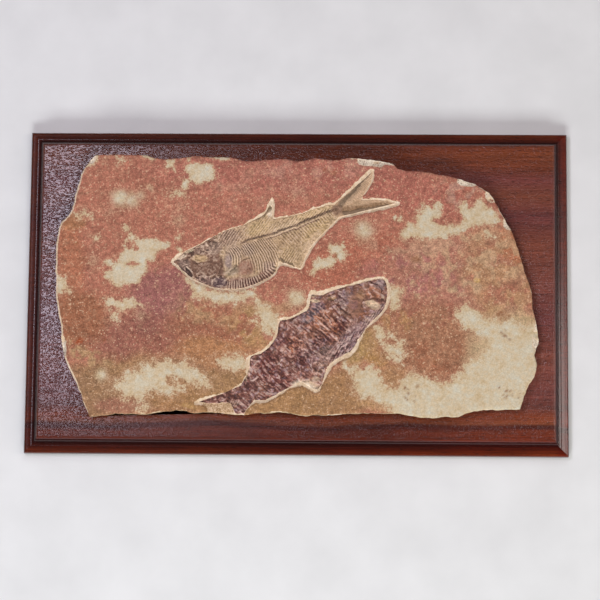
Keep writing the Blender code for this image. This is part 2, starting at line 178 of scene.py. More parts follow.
def stained_walnut():
    """Stained walnut under satin lacquer: long streaks, fine fibres, and open pores that break the gloss."""
    finish, tree, shader, place = new_finish("stained walnut, satin lacquer")
    x_mm, y_mm, z_mm = add(tree, "SeparateXYZ", {}, {0: place}).outputs
    run = add(tree, "VectorMath", {"operation": "MULTIPLY"}, {0: place, 1: (1 / GRAIN_RUN, 1 / 70, 0.01)})
    drift = add(tree, "TexNoise", {}, {"Vector": run.outputs[0], "Scale": 1.0, "Detail": 2.0})
    drift = add(tree, "MapRange", {}, {"Value": drift.outputs[0], 3: -GRAIN_DRIFT, 4: GRAIN_DRIFT})
    across = add(tree, "Math", {"operation": "ADD"}, {0: y_mm, 1: drift.outputs[0]})
    across_share = add(tree, "MapRange", {}, {"Value": across.outputs[0], 1: -HALF_WIDTH, 2: HALF_WIDTH})
    streaks = add(
        tree, "ValToRGB", {"stops": stops_between(-HALF_WIDTH, HALF_WIDTH, GRAIN)},
        {"Fac": across_share.outputs[0]},
    )
    along_share = add(tree, "MapRange", {}, {"Value": x_mm, 1: -HALF_LENGTH, 2: HALF_LENGTH})
    shade_along = add(
        tree, "ValToRGB", {"stops": stops_between(-HALF_LENGTH, HALF_LENGTH, SHADE_ALONG_BOARD)},
        {"Fac": along_share.outputs[0]},
    )
    streaks = add(tree, "Mix", TINTED, {0: 1.0, 6: streaks.outputs[0], 7: shade_along.outputs[0]})
    # Fibres 1.1 mm apart, where real ones are finer and wouldn't show, and a broader dark figure
    fine = add(tree, "VectorMath", {"operation": "MULTIPLY"}, {0: place, 1: (1 / 30, 1 / 1.1, 1 / 1.1)})
    fibres = add(tree, "TexNoise", {}, {"Vector": fine.outputs[0], "Scale": 1.0, "Detail": 3.0})
    fibres = add(tree, "MapRange", {}, {"Value": fibres.outputs[0], 1: 0.3, 2: 0.7, 3: 0.7, 4: 1.25})
    broad = add(tree, "VectorMath", {"operation": "MULTIPLY"}, {0: place, 1: (1 / 90, 1 / 3.5, 1 / 3.5)})
    figure = add(tree, "TexNoise", {}, {"Vector": broad.outputs[0], "Scale": 1.0, "Detail": 2.0})
    figure = add(tree, "MapRange", {}, {"Value": figure.outputs[0], 1: 0.35, 2: 0.6, 3: 0.82, 4: 1.05})
    tone = add(tree, "Math", {"operation": "MULTIPLY"}, {0: fibres.outputs[0], 1: figure.outputs[0]})
    wood = add(tree, "Mix", TINTED, {0: 1.0, 6: streaks.outputs[2], 7: tone.outputs[0]})
    # The pores are dashes about 5 mm long and 0.9 mm wide, drawn wider than real ones so that they show
    dashes = add(tree, "VectorMath", {"operation": "MULTIPLY"}, {0: place, 1: (1 / 5.0, 1 / 0.9, 1 / 0.9)})
    pores = add(tree, "TexNoise", {}, {"Vector": dashes.outputs[0], "Scale": 1.0, "Detail": 1.0})
    pores = add(tree, "MapRange", {}, {"Value": pores.outputs[0], 1: 0.60, 2: 0.70, 4: 0.7})
    wood = add(tree, "Mix", BLENDED, {0: pores.outputs[0], 6: wood.outputs[2], 7: linear("#3A1A14")})
    up_share = add(tree, "MapRange", {}, {"Value": z_mm, 1: 0.0, 2: FACE_HEIGHT})
    moulding_shade = add(
        tree, "ValToRGB", {"stops": stops_between(0, FACE_HEIGHT, SHADE_UP_MOULDING)}, {"Fac": up_share.outputs[0]}
    )
    wood = add(tree, "Mix", TINTED, {0: 1.0, 6: wood.outputs[2], 7: moulding_shade.outputs[0]})
    # Lacquer that shrank into the pores breaks the gloss: pits of 1.5 mm, where real ones are finer and
    # wouldn't show, drawn out along the grain towards the upper edge
    upper_half = add(tree, "MapRange", {}, {"Value": across.outputs[0], 1: -20.0, 2: 60.0})
    pits = add(tree, "TexNoise", {}, {"Vector": place, "Scale": 0.66, "Detail": 1.0, "Roughness": 0.5})
    longer = add(tree, "VectorMath", {"operation": "MULTIPLY"}, {0: place, 1: (0.34, 0.8, 0.8)})
    drawn_out = {"Vector": longer.outputs[0], "Scale": 1.0, "Detail": 1.0, "Roughness": 0.5}
    long_pits = add(tree, "TexNoise", {}, drawn_out)
    both = {0: upper_half.outputs[0], 2: pits.outputs[0], 3: long_pits.outputs[0]}
    pits = add(tree, "Mix", {"data_type": "FLOAT"}, both)
    pits = add(tree, "MapRange", {}, {"Value": pits.outputs[0], 1: 0.36, 2: 0.54})
    # Stain is dark in the pits, most of all at the board's left end, where the dark pits are also painted
    # shade that breaks up the mirrored panel
    left_pit_shade = add(tree, "MapRange", {}, {"Value": along_share.outputs[0], 1: 0.5, 2: 0.1, 3: 0.0, 4: 0.25})
    pit_stain_and_shade = add(tree, "MapRange", {}, {"Value": pits.outputs[0], 1: 0.0, 2: 1.0, 3: 1.0, 4: 0.0})
    pit_stain_and_shade = add(tree, "Math", {"operation": "MULTIPLY"}, {0: pit_stain_and_shade.outputs[0], 1: left_pit_shade.outputs[0]})
    wood = add(tree, "Mix", BLENDED, {0: pit_stain_and_shade.outputs[0], 6: wood.outputs[2], 7: linear("#36201F")})
    # The moulding is sanded smoother than the face
    sunk = {0: pores.outputs[0], 1: -0.2, 2: pits.outputs[0]}
    depth = add(tree, "Math", {"operation": "MULTIPLY_ADD"}, sunk)
    below, at = FACE_HEIGHT - 0.5, FACE_HEIGHT - 0.05
    face = add(tree, "MapRange", {}, {"Value": z_mm, 1: below, 2: at, 3: 0.06, 4: 1.0})
    depth = add(tree, "Math", {"operation": "MULTIPLY"}, {0: depth.outputs[0], 1: face.outputs[0]})
    skin = add(tree, "Bump", {}, {"Height": depth.outputs[0], "Strength": 1.0, "Distance": 0.00027})
    tree.links.new(wood.outputs[2], shader.inputs["Base Color"])
    tree.links.new(skin.outputs[0], shader.inputs["Normal"])
    tree.links.new(skin.outputs[0], shader.inputs["Coat Normal"])
    shader.inputs["Roughness"].default_value = 0.5
    shader.inputs["Specular IOR Level"].default_value = 0.0  # the lacquer gives all of the gloss
    shader.inputs["Coat Weight"].default_value = 1.0
    shader.inputs["Coat Roughness"].default_value = 0.23
    shader.inputs["Coat IOR"].default_value = 1.55
    return finish


def piece(name, points, faces, finish, slot, node):
    """A closed mesh from points in millimetres. It stands for a CAD node, and rides on the one body."""
    mesh = bpy.data.meshes.new(name)
    mesh.from_pydata(points * MM, [], faces)
    mesh.materials.append(finish)
    made = bpy.data.objects.new(name, mesh)
    bpy.context.scene.collection.objects.link(made)
    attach(made, "root")
    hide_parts(node)
    return made


plaque = piece("wooden_plaque", *board(), stained_walnut(), "plaque_wood", "plaque")
plaque.data.shade_smooth()
plaque.data.set_sharp_from_angle(angle=math.radians(30))
# The mitres stay crisp: an edge that joins two rings of four corners runs along one
corners = np.array([edge.vertices for edge in plaque.data.edges])
mitred = np.abs(corners[:, 0] - corners[:, 1]) == 4
kept = plaque.data.attributes
crease = kept.get("sharp_edge") or kept.new("sharp_edge", "BOOLEAN", "EDGE")
sharp = np.zeros(len(mitred), bool)
crease.data.foreach_get("value", sharp)
crease.data.foreach_set("value", sharp | mitred)

# ---- Stone slab ----------------------------------------------------------------------------------
# A plate of limestone split along its bedding, with broken edges. Stain has soaked its face brick red,
# ochre and purple in clouds that leave cream patches, and two hollows are scraped down to cream rock.

SLAB_THICKNESS = 11.0
SLAB_BACK = float(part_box("stone_slab")[0][2]) / MM
SLAB_TOP = SLAB_BACK + SLAB_THICKNESS
HOLLOW_DEPTH = 1.5
TOP_EDGE = [
    (-190, 126), (-170, 126.5), (-146, 126), (-128, 123), (-113, 123), (-98, 125.5), (-80, 124.5),
    (-62, 124), (-50, 121), (-30, 122), (-14, 122.5), (0, 121), (18, 124), (35, 122), (50, 123.5),
    (68, 122.5), (87, 119), (96, 113.5), (118, 111), (145, 106.5), (166, 100),
]
RIGHT_EDGE = [
    (207, -110), (211, -97), (216, -86), (221, -80), (222, -68), (221, -61), (224, -46), (222, -32),
    (219, -18), (218, -3), (211, 20), (206, 36), (201, 52), (191, 71), (184, 84), (179, 91), (166, 100),
]
BOTTOM_EDGE = [
    (-190, -120), (-175, -119), (-158, -116.5), (-140, -117.5), (-125, -115.5), (-107, -113.5),
    (-95, -115.5), (-80, -115), (-65, -116), (-48, -117.5), (-30, -115), (-18, -114.5), (15, -117),
    (40, -116.5), (60, -115), (90, -114.5), (105, -117), (125, -118.5), (145, -118), (160, -114),
    (175, -111), (190, -111), (207, -110),
]
LEFT_EDGE = [
    (-190, -120), (-193, -114), (-199, -98), (-208, -78), (-215, -62), (-217, -54), (-219, -33),
    (-223, -12), (-225, 20), (-225, 35), (-221, 60), (-213, 70), (-206, 93), (-203, 107), (-197, 117),
    (-190, 126),
]
UPPER_HOLLOW = [
    (-118, 25), (-111, 33.5), (-105, 37), (-92, 41.5), (-82, 48.5), (-70, 55), (-50, 61.5), (-42, 66.5),
    (-33, 72), (-29, 76), (-26.5, 83), (-23.5, 87.5), (-21, 83), (-20, 68.5), (-8, 70), (5, 73.5),
    (15, 77.5), (28, 81.5), (34, 82.5), (42, 89.5), (52, 99.5), (60, 107.5), (68, 114.5), (73, 114),
    (72.5, 105), (68, 95), (62.5, 87), (75, 87), (90, 85.5), (97.5, 83), (96, 78.5), (78, 74), (60, 70),
    (50, 67.5), (42, 65.5), (33, 57.5), (24, 48.5), (16, 39), (10, 28), (5, 16.5), (-3, 18.5),
    (-12, 21.5), (-15.5, 20), (-17.5, 14.5), (-24, 9), (-32, 4.5), (-42, 0.5), (-53, -2.5), (-65, -3),
    (-76, -1.5), (-88, 2.5), (-96, 6.5), (-104, 12), (-111, 18.5),
]
LOWER_HOLLOW = [
    (84, 12), (78, 13.5), (64, 10.5), (52, 7), (38, 4), (26, 0), (20, -1.5), (14.5, -0.5), (11, -4),
    (9, -15), (2, -20.5), (-7, -25), (-18, -27), (-19.5, -40), (-26, -52), (-34, -58), (-42, -60.5),
    (-46, -66), (-46.5, -80), (-54, -89), (-64, -95), (-80, -100), (-94, -104.5), (-94, -108.5),
    (-84, -110.5), (-74, -123), (-52, -124), (-44.5, -115), (-36.5, -106.5), (-28, -107), (-12, -99),
    (-2, -93), (6, -91.5), (18, -98.5), (23, -96), (30, -82), (35, -72.5), (47, -66), (56, -60),
    (61, -49), (67, -38), (77, -28.5), (85, -19), (88, -8), (87.5, 5),
]
# Shell-shaped flakes off the edge: centre x, y, half lengths along x and y, depth
FLAKES = [
    (74, 123.5, 24, 8, 3.0), (164, 103, 15, 6, 2.6), (183, 90, 8, 7, 3.0), (198, 64, 6, 8, 2.4),
    (224, -45, 6, 15, 3.2), (-217, -57, 4.5, 12, 5.0), (-193, 124, 4.5, 7, 1.8),
]


def smooth_curve(points, at):
    """The monotone cubic through the points, at places counted from 0 in point numbers: its slope at a point
    is the harmonic mean of the slopes on both sides, or zero where they turn."""
    points = np.asarray(points, float)
    rise = np.diff(points, axis=0)
    before, after = rise[:-1], rise[1:]
    together = before * after > 0
    slope = np.zeros_like(points)
    slope[1:-1] = np.where(together, 2 * before * after / np.where(together, before + after, 1), 0)
    slope[0], slope[-1] = rise[0], rise[-1]
    at = np.clip(np.asarray(at, float), 0, len(points) - 1)
    index = np.minimum(at.astype(int), len(points) - 2)
    t = (at - index)[:, None]
    return (
        points[index] * (2 * t**3 - 3 * t**2 + 1)
        + slope[index] * (t**3 - 2 * t**2 + t)
        + points[index + 1] * (3 * t**2 - 2 * t**3)
        + slope[index + 1] * (t**3 - t**2)
    )


def by_length(points, shares):
    """Points of the smooth curve at the given shares of its length."""
    at = np.linspace(0, len(points) - 1, 40 * len(points))
    fine = smooth_curve(points, at)
    run = np.concatenate([[0], np.cumsum(np.linalg.norm(np.diff(fine, axis=0), axis=1))])
    return smooth_curve(points, np.interp(shares * run[-1], run, at))


def closed_ring(points, per_point=2):
    """The smooth closed curve through the points, with per_point corners for each of them."""
    wrapped = [*points[-2:], *points, *points[:2]]
    return smooth_curve(wrapped, 2 + np.arange(len(points) * per_point) / per_point)


def clouds(x, y, size, seed, octaves=4):
    """Cloudy noise, about -1 to 1: random heights on a lattice of the given size, joined by smooth steps,
    then again at half the size and half the height for each further octave."""
    total = np.zeros(np.shape(x))
    for octave in range(octaves):
        lattice = np.random.default_rng(seed + octave).uniform(-1, 1, (256, 256))
        u, v = (np.asarray(c) * 2**octave / size for c in (x, y))
        i, j = np.floor(u).astype(int), np.floor(v).astype(int)
        s, t = (f * f * (3 - 2 * f) for f in (u - i, v - j))
        near = lattice[i % 256, j % 256] * (1 - s) + lattice[(i + 1) % 256, j % 256] * s
        far = lattice[i % 256, (j + 1) % 256] * (1 - s) + lattice[(i + 1) % 256, (j + 1) % 256] * s
        total += (near * (1 - t) + far * t) / 2**octave
    return total


def depth_inside(x, y, outline):
    """How far each point lies inside the outline, negative outside: the distance to the nearest of its
    straight runs, signed by whether a line to the right crosses it an odd number of times."""
    nearest = np.full(x.shape, 1e9)
    odd = np.zeros(x.shape, bool)
    for (ax, ay), (bx, by) in zip(outline, np.roll(outline, -1, axis=0)):
        dx, dy = bx - ax, by - ay
        t = np.clip(((x - ax) * dx + (y - ay) * dy) / (dx * dx + dy * dy), 0, 1)
        nearest = np.minimum(nearest, (x - ax - t * dx) ** 2 + (y - ay - t * dy) ** 2)
        if dy:
            odd ^= ((y < ay) != (y < by)) & (x < ax + (y - ay) * dx / dy)
    return np.where(odd, 1, -1) * np.sqrt(nearest)


def ease(value, start, end):
    """0 before start, 1 after end and a smooth step between."""
    t = np.clip((value - start) / (end - start), 0, 1)
    return t * t * (3 - 2 * t)


SLAB_COLUMNS, SLAB_ROWS = 400, 205
GRID_LENGTH, GRID_WIDTH = 420.0, 240.0  # rough lengths of the sides, to space the grid lines by
WORN_STEPS = np.array([0, 0.5, 1.1, 1.9])  # first grid lines inside the edge, in mm


def edge_shares(count, length):
    """Grid lines as shares of a side: close together at both ends, and even between them."""
    worn = WORN_STEPS / length
    middle = np.linspace(worn[-1], 1 - worn[-1], count - 2 * len(worn) + 3)
    return np.concatenate([worn[:-1], middle, 1 - worn[-2::-1]])


def ragged(edge, seed):
    """A broken edge: the curve shifted sideways by noise, in chips of 11 mm and less, but not at its ends."""
    along = np.cumsum(np.concatenate([[0], np.linalg.norm(np.diff(edge, axis=0), axis=1)]))
    hold = ease(along, 0, 6) * ease(along[-1] - along, 0, 6)
    shift = 0.55 * clouds(along, 0 * along, 11, seed, 3) + 0.25 * clouds(along, 0 * along, 3, seed + 9, 2)
    direction = np.gradient(edge, axis=0)
    direction /= np.linalg.norm(direction, axis=1)[:, None]
    return edge + (hold * shift)[:, None] * direction[:, ::-1] * (1, -1)


def slab_face():
    """Rows of (x, y) over the face: a Coons patch, the blend of the four edges that meets each of them."""
    a, b = edge_shares(SLAB_COLUMNS, GRID_LENGTH), edge_shares(SLAB_ROWS, GRID_WIDTH)
    bottom, top = ragged(by_length(BOTTOM_EDGE, a), 11), ragged(by_length(TOP_EDGE, a), 12)
    left, right = ragged(by_length(LEFT_EDGE, b), 13), ragged(by_length(RIGHT_EDGE, b), 14)
    u, v = a[None, :, None], b[:, None, None]
    corners = (1 - v) * ((1 - u) * bottom[0] + u * bottom[-1]) + v * ((1 - u) * top[0] + u * top[-1])
    return (1 - v) * bottom + v * top + (1 - u) * left[:, None] + u * right[:, None] - corners


def rim_of(grid):
    """Numbers of the grid's border points, once round, anticlockwise from above."""
    index = np.arange(grid.shape[0] * grid.shape[1]).reshape(grid.shape[:2])
    return np.concatenate([index[0, :-1], index[:-1, -1], index[-1, :0:-1], index[:0:-1, 0]])


def grid_faces(rows, columns):
    """One face for each square between four neighbouring points of a grid."""
    index = np.arange(rows * columns).reshape(rows, columns)
    return np.stack([index[:-1, :-1], index[:-1, 1:], index[1:, 1:], index[1:, :-1]], axis=2).reshape(-1, 4)


def bands(rings):
    """Faces between rings of point numbers, from the top one down."""
    rings = np.array(rings)
    above, below = rings[:-1], rings[1:]
    return np.stack([above, below, np.roll(below, -1, 1), np.roll(above, -1, 1)], axis=2).reshape(-1, 4)


EDGE_FALL = 0.9  # how far the worn edge falls away
# The broken side, from the face down: height as a share of the thickness, and how far it is set back
SIDE_LEVELS = np.array([0.9, 0.8, 0.7, 0.62, 0.55, 0.45, 0.34, 0.25, 0.14, 0.05, 0.0])
SIDE_SET_BACK = np.array([0.1, 0.15, 0.1, 0.3, 1.3, 1.1, 0.7, 0.8, 1.6, 2.3, 2.6])

flat = slab_face()
x, y = flat[..., 0].ravel(), flat[..., 1].ravel()
rim = rim_of(flat)
outline = np.stack([x[rim], y[rim]], axis=1)
from_edge = depth_inside(x, y, outline[::3])
upper_scrape = depth_inside(x, y, closed_ring(UPPER_HOLLOW))
lower_scrape = depth_inside(x, y, closed_ring(LOWER_HOLLOW))
scrape = np.maximum(upper_scrape, lower_scrape)

z = SLAB_TOP + 0.22 * clouds(x, y, 60, 21, 2) + 0.10 * clouds(x, y, 14, 31, 3)
z += 0.05 * clouds(x, y, 3.5, 41, 2)
z -= EDGE_FALL * np.exp(-np.maximum(from_edge, 0) / (0.7 + 0.5 * clouds(x, y, 25, 51, 2)))
hollowed = ease(scrape + 0.35 * clouds(x, y, 5, 61, 3), -0.2, 2.4)
z -= hollowed * (HOLLOW_DEPTH + 0.12 * clouds(x, y, 3.2, 71, 2))
chipped = np.zeros(x.shape)
for fx, fy, half_x, half_y, depth in FLAKES:
    reach = 1 - ((x - fx) / half_x) ** 2 - ((y - fy) / half_y) ** 2 + 0.35 * clouds(x, y, 6, 81, 3)
    scoop = SLAB_TOP - depth * np.maximum(reach, 0) * (0.8 + 0.3 * clouds(x, y, 4, 91, 3))
    z = np.where(reach > 0, np.minimum(z, scoop), z)
    chipped = np.maximum(chipped, ease(reach, 0, 0.12))

along = np.roll(outline, -1, axis=0) - np.roll(outline, 1, axis=0)
outward = np.stack([along[:, 1], -along[:, 0]], axis=1) / np.linalg.norm(along, axis=1)[:, None]
side_rings = [rim]
side_points = []
for level, (share, back) in enumerate(zip(SIDE_LEVELS, SIDE_SET_BACK)):
    layer = int(4 * share)  # the rock splits in layers, and each breaks back by its own amount
    wander = 0.55 * clouds(outline[:, 0] + 40 * layer, outline[:, 1], 13, 101 + layer, 3)
    wander += 0.22 * clouds(outline[:, 0], outline[:, 1] + 9 * level, 3.5, 111, 2)
    ring = outline - outward * (back + wander * ease(1 - share, 0, 0.3))[:, None]
    height = SLAB_BACK + share * (z[rim] - SLAB_BACK)
    side_points.append(np.column_stack([ring, height]))
    side_rings.append(len(x) + len(rim) * level + np.arange(len(rim)))
slab_points = np.concatenate([np.column_stack([x, y, z]), *side_points])
slab_faces = [
    *grid_faces(*flat.shape[:2]).tolist(), *bands(side_rings).tolist(), side_rings[-1][::-1].tolist(),
]

# Washes of stain, laid over each other: x, y, half lengths, turn in degrees, colour, strength, and the size
# of the blotches that it breaks into, or 0 for an even wash
BASE_STAIN = "#AA6D58"
WASHES = [
    (-180, 60, 60, 80, 0, "#A86C56", 0.7, 0),
    (-212, 20, 14, 50, 0, "#A66A4C", 0.7, 0),
    (0, 112, 140, 22, 0, "#A66658", 0.6, 0),
    (60, 112, 50, 14, 0, "#A25F50", 0.5, 9),
    (-40, 95, 60, 22, 0, "#B4806A", 0.5, 12),
    (20, 112, 60, 14, 0, "#B88A76", 0.5, 10),
    (-112, 68, 9, 14, 0, "#B88A6E", 0.6, 6),
    (-212, 62, 12, 10, 0, "#A87850", 0.6, 0),
    (-125, -4, 32, 26, 0, "#935E58", 0.85, 0),
    (-115, -36, 40, 14, 0, "#8E5A50", 0.8, 0),
    (-150, -45, 50, 22, 0, "#8A584A", 0.7, 0),
    (-200, -30, 30, 30, 0, "#946044", 0.9, 0),
    (-140, -54, 60, 12, 0, "#8E5846", 0.6, 8),
    (-75, -40, 46, 26, 0, "#9C654A", 0.8, 0),
    (-85, -22, 34, 14, 0, "#AE8460", 0.7, 7),
    (-75, -60, 40, 14, 0, "#A87850", 0.8, 0),
    (60, 28, 60, 26, 15, "#A8624A", 0.6, 0),
    (105, 92, 60, 20, -15, "#A86656", 0.8, 0),
    (155, 88, 26, 14, -25, "#B48C78", 0.7, 8),
    (-140, -92, 90, 30, 0, "#9A7450", 1.0, 0),
    (-185, -105, 30, 34, 0, "#947050", 0.9, 0),
    (-190, -66, 26, 10, -20, "#AC8A62", 0.8, 7),
    (-206, -54, 12, 8, -40, "#BA9A70", 0.7, 5),
    (-198, -50, 4.5, 3, 0, "#A04E2C", 0.8, 0),
    (-160, -110, 26, 9, 0, "#9C6A54", 0.9, 0),
    (-118, -106, 24, 8, 0, "#A87850", 0.8, 6),
    (-97, -111, 8, 3, 0, "#C8A45C", 0.9, 0),
    (-30, -100, 100, 30, 0, "#A07850", 1.0, 0),
    (-68, -86, 22, 12, 0, "#9A7652", 0.7, 0),
    (-55, -15, 60, 20, 0, "#AC8A64", 0.6, 9),
    (-35, -35, 26, 22, 0, "#B08C5C", 0.7, 7),
    (45, -97, 30, 26, 0, "#9E7650", 0.9, 0),
    (60, -52, 16, 24, -40, "#A68456", 1.0, 0),
    (76, -64, 10, 10, 0, "#AC8450", 0.9, 0),
    (90, -82, 18, 14, 0, "#A67E56", 0.9, 0),
    (78, -106, 26, 10, 0, "#B0885E", 0.9, 0),
    (145, 15, 80, 40, 0, "#AA7460", 0.8, 0),
    (120, 14, 60, 24, 0, "#A06460", 0.6, 8),
    (190, 12, 36, 50, 20, "#B08560", 0.9, 0),
    (188, 18, 34, 40, 0, "#A26452", 0.6, 9),
    (203, 42, 10, 22, 20, "#AE6C4A", 0.8, 0),
    (165, 30, 60, 30, 0, "#BC9A76", 0.7, 7),
    (130, 0, 60, 9, 0, "#B89674", 0.9, 8),
    (110, 42, 50, 9, 0, "#B88C70", 0.8, 9),
    (168, 8, 4, 3.5, 0, "#C4A060", 0.9, 0),
    (125, -50, 56, 38, -10, "#9E6E52", 1.0, 0),
    (130, -22, 40, 12, 0, "#9E6450", 0.7, 8),
    (92, -28, 16, 14, 0, "#A87E54", 0.8, 7),
    (128, -62, 34, 18, 0, "#955A40", 0.5, 9),
    (200, -10, 26, 20, 0, "#A26450", 0.8, 8),
    (180, -24, 20, 8, 0, "#AE865C", 0.7, 6),
    (210, -30, 12, 6, 0, "#B08A5C", 0.8, 0),
    (150, -106, 62, 20, 0, "#BCA074", 1.0, 0),
    (200, -70, 42, 52, 0, "#C2AC84", 1.0, 0),
]
# Bare cream patches, each with the softness of its edge and its outline
BARE = [
    (0.75, [(-161, 60), (-158, 59), (-155, 54), (-152, 50), (-146, 47.5), (-140, 46), (-133, 47),
         (-127, 45), (-119, 43), (-119, 40.5), (-124, 36), (-128, 35), (-131, 30), (-133, 26), (-138, 25),
         (-140, 17), (-143, 15), (-144, 9), (-150, 5), (-158, 5), (-162, 3), (-164, 0), (-169, 2),
         (-174, 6), (-178, 10), (-177, 14), (-171, 16), (-170, 18), (-176, 20), (-180, 24), (-176, 27),
         (-172, 27), (-169, 23), (-166, 26), (-165, 31), (-161, 36), (-160, 42), (-158, 46), (-155, 49),
         (-160, 53), (-163, 57)]),
    (0.7, [(-105, 117), (-100, 118), (-92, 119), (-84, 119), (-80, 117), (-78, 111), (-77, 105), (-81, 101),
         (-86, 100), (-91, 97), (-96, 98), (-98, 101), (-100, 104), (-103, 108), (-104, 112)]),
    (0.6, [(-107, 104), (-102, 104), (-100, 98), (-102, 92), (-105, 91), (-107, 96)]),
    (1.6, [(-122, 88), (-116, 92), (-108, 91), (-106, 88), (-114, 86)]),
    (0.5, [(-124, 121), (-120, 122), (-115, 122), (-115, 117), (-113, 111), (-118, 113), (-123, 112),
         (-124, 115), (-121, 118)]),
    (0.5, [(-105, 124), (-101, 124), (-101, 121), (-104, 121)]),
    (0.6, [(-84, 126), (-75, 126), (-63, 126), (-63, 122), (-70, 120), (-77, 121.5)]),
    (0.5, [(-147, 127), (-140, 127), (-134, 122), (-138, 121), (-144, 124)]),
    (1.4, [(-170, 124), (-163, 124), (-162, 121), (-168, 119)]),
    (1.4, [(-184, 121), (-179, 122), (-178, 119), (-182, 118)]),
    (0.8, [(-191, 128), (-186, 128), (-188, 121), (-193, 116), (-199, 114)]),
    (1.3, [(-208, 70), (-200, 71), (-198, 75), (-196, 71), (-192, 68), (-198, 67), (-204, 67)]),
    (1.0, [(-226, 11), (-215, 11), (-214, 5), (-211, 1), (-207, -4), (-210, -5), (-215, -3), (-219, -7),
         (-226, -9)]),
    (0.8, [(-114, 46), (-111, 51), (-106, 52), (-108, 48), (-111, 44)]),
    (0.8, [(-111.5, 38), (-108, 36.5), (-107, 34), (-110, 34.5)]),
    (1.2, [(-192, 48), (-188, 50), (-186, 47), (-189, 44)]),
    (0.7, [(-177, -8), (-171, -9), (-168, -12), (-162, -12), (-160, -8), (-154, -9), (-149, -11),
         (-143, -15), (-141, -16), (-147, -18), (-150, -19), (-157, -19), (-160, -21), (-166, -19),
         (-172, -18), (-178, -17)]),
    (2.0, [(-171, -20), (-161, -21), (-163, -28), (-168, -29)]),
    (1.8, [(-170, -88), (-162, -84), (-155, -78), (-145, -77), (-140, -70), (-130, -70), (-120, -67),
         (-110, -70), (-103, -66), (-95, -70), (-88, -76), (-82, -82), (-78, -88), (-84, -92), (-95, -91),
         (-105, -93), (-113, -98), (-120, -99), (-130, -98), (-136, -101), (-137, -108), (-137, -119),
         (-142, -119), (-144, -110), (-150, -105), (-158, -101), (-166, -97), (-170, -92)]),
    (1.2, [(-104, 9), (-96, 7), (-88, 4), (-78, 0), (-66, -2), (-50, -1), (-40, 1), (-38, -6), (-46, -11),
         (-58, -14), (-68, -15), (-76, -15), (-80, -11), (-88, -10), (-96, -8)]),
    (1.5, [(-44, -6), (-34, -8), (-28, -14), (-16, -24), (-15, -40), (-26, -44), (-34, -36), (-40, -26),
         (-36, -16)]),
    (1.5, [(-76, -66), (-60, -61), (-44, -62), (-45, -76), (-58, -77), (-68, -73)]),
    (1.5, [(-4, -4), (4, -4), (7, -10), (3, -15), (-4, -15), (-7, -10)]),
    (0.6, [(13, 12), (16, 13), (19, 17), (24, 20), (31, 20), (35, 23), (37, 27), (35, 30), (32, 31),
         (28, 29), (24, 29), (20, 32), (19, 28), (16, 25), (15, 21), (12, 17)]),
    (0.6, [(30, 40), (31, 43), (37, 44), (40, 41), (44, 45), (45, 41), (43, 38), (47, 36), (49, 34),
         (46, 33), (46, 28), (41, 27), (38, 30), (36, 33), (32, 33), (30, 36)]),
    (0.6, [(89, 67), (92, 69), (93, 66), (96, 70), (98, 67), (96, 63), (92, 64)]),
    (0.9, [(96, 54), (101, 60), (105, 62), (110, 62), (110, 68), (114, 74), (118, 79), (123, 80), (126, 78),
         (131, 82), (134, 81), (133, 75), (135, 70), (130, 66), (133, 61), (140, 61), (146, 62), (152, 63),
         (154, 68), (152, 73), (150, 78), (153, 83), (158, 82), (161, 77), (164, 80), (168, 83), (172, 86),
         (175, 82), (178, 78), (184, 76), (188, 70), (191, 66), (186, 63), (181, 61), (176, 62), (172, 58),
         (167, 60), (160, 58), (155, 56), (150, 52), (143, 49), (135, 48), (126, 49), (118, 47), (110, 49),
         (103, 48), (99, 46), (97, 50)]),
    (1.2, [(174, 58), (178, 56), (183, 51), (186, 50), (182, 48), (176, 51)]),
    (1.0, [(192, 64), (197, 60), (199, 54), (195, 56)]),
    (1.2, [(86, 3), (95, 3), (98, 0), (96, -6), (97, -12), (93, -17), (88, -20), (86, -14), (85, -6)]),
    (1.3, [(70, -34), (75, -33), (79, -37), (86, -39), (92, -42), (96, -47), (90, -47), (84, -48),
         (78, -46), (73, -42)]),
    (2.2, [(80, -50), (92, -50), (100, -48), (102, -55), (100, -64), (98, -70), (90, -66), (84, -62),
         (80, -58)]),
    (1.2, [(43, -68), (48, -67), (50, -70), (47, -75), (43, -72)]),
    (1.3, [(47, -72), (53, -71), (60, -72), (70, -72), (76, -75), (78, -80), (80, -86), (86, -89),
         (94, -90), (100, -84), (102, -79), (108, -77), (114, -79), (122, -82), (130, -82), (136, -86),
         (142, -83), (150, -79), (153, -73), (158, -68), (163, -63), (170, -60), (176, -52), (176, -46),
         (170, -42), (163, -38), (157, -38), (151, -33), (147, -27), (149, -20), (152, -15), (158, -13),
         (164, -17), (170, -20), (175, -24), (182, -27), (190, -29), (197, -26), (203, -28), (210, -33),
         (218, -30), (228, -34), (228, -50), (228, -80), (218, -92), (214, -116), (160, -124), (100, -124),
         (85, -112), (72, -103), (60, -100), (54, -95), (52, -86), (51, -78)]),
]
# Islands of stain left inside the patches
STAINED = [
    [(-158, 23), (-152, 21.5), (-146, 23), (-152, 24.5)],
    [(-154, 38), (-150, 36), (-148, 38), (-151, 40)],
    [(-160, 41), (-156, 37), (-150, 43), (-157, 46)],
    [(136, 64), (142, 68), (150, 68), (153, 64), (146, 60), (138, 60)],
    [(-118, -82), (-106, -83), (-100, -88), (-112, -92), (-120, -88)],
]
# Soft pale spots: x, y, radius, strength
PALE_SPOTS = [
    (-166, 84, 9, 0.9), (-156, 82, 8, 0.7), (-148, 86, 6, 0.5), (-138, 93, 4, 0.45), (-172, 87, 6, 0.5),
    (63, 56, 10, 0.72), (0, -10, 9, 0.75), (-179, -82, 6, 0.8), (-2, 93, 8, 0.25),
    (-190, 26, 8, 0.3), (-112, 66, 8, 0.25), (-138, -84, 16, 0.3), (-175, 72, 7, 0.25), (108, -83, 7, 0.5),
    (190, -72, 20, 0.5), (-143, -25, 6, 0.3),
]
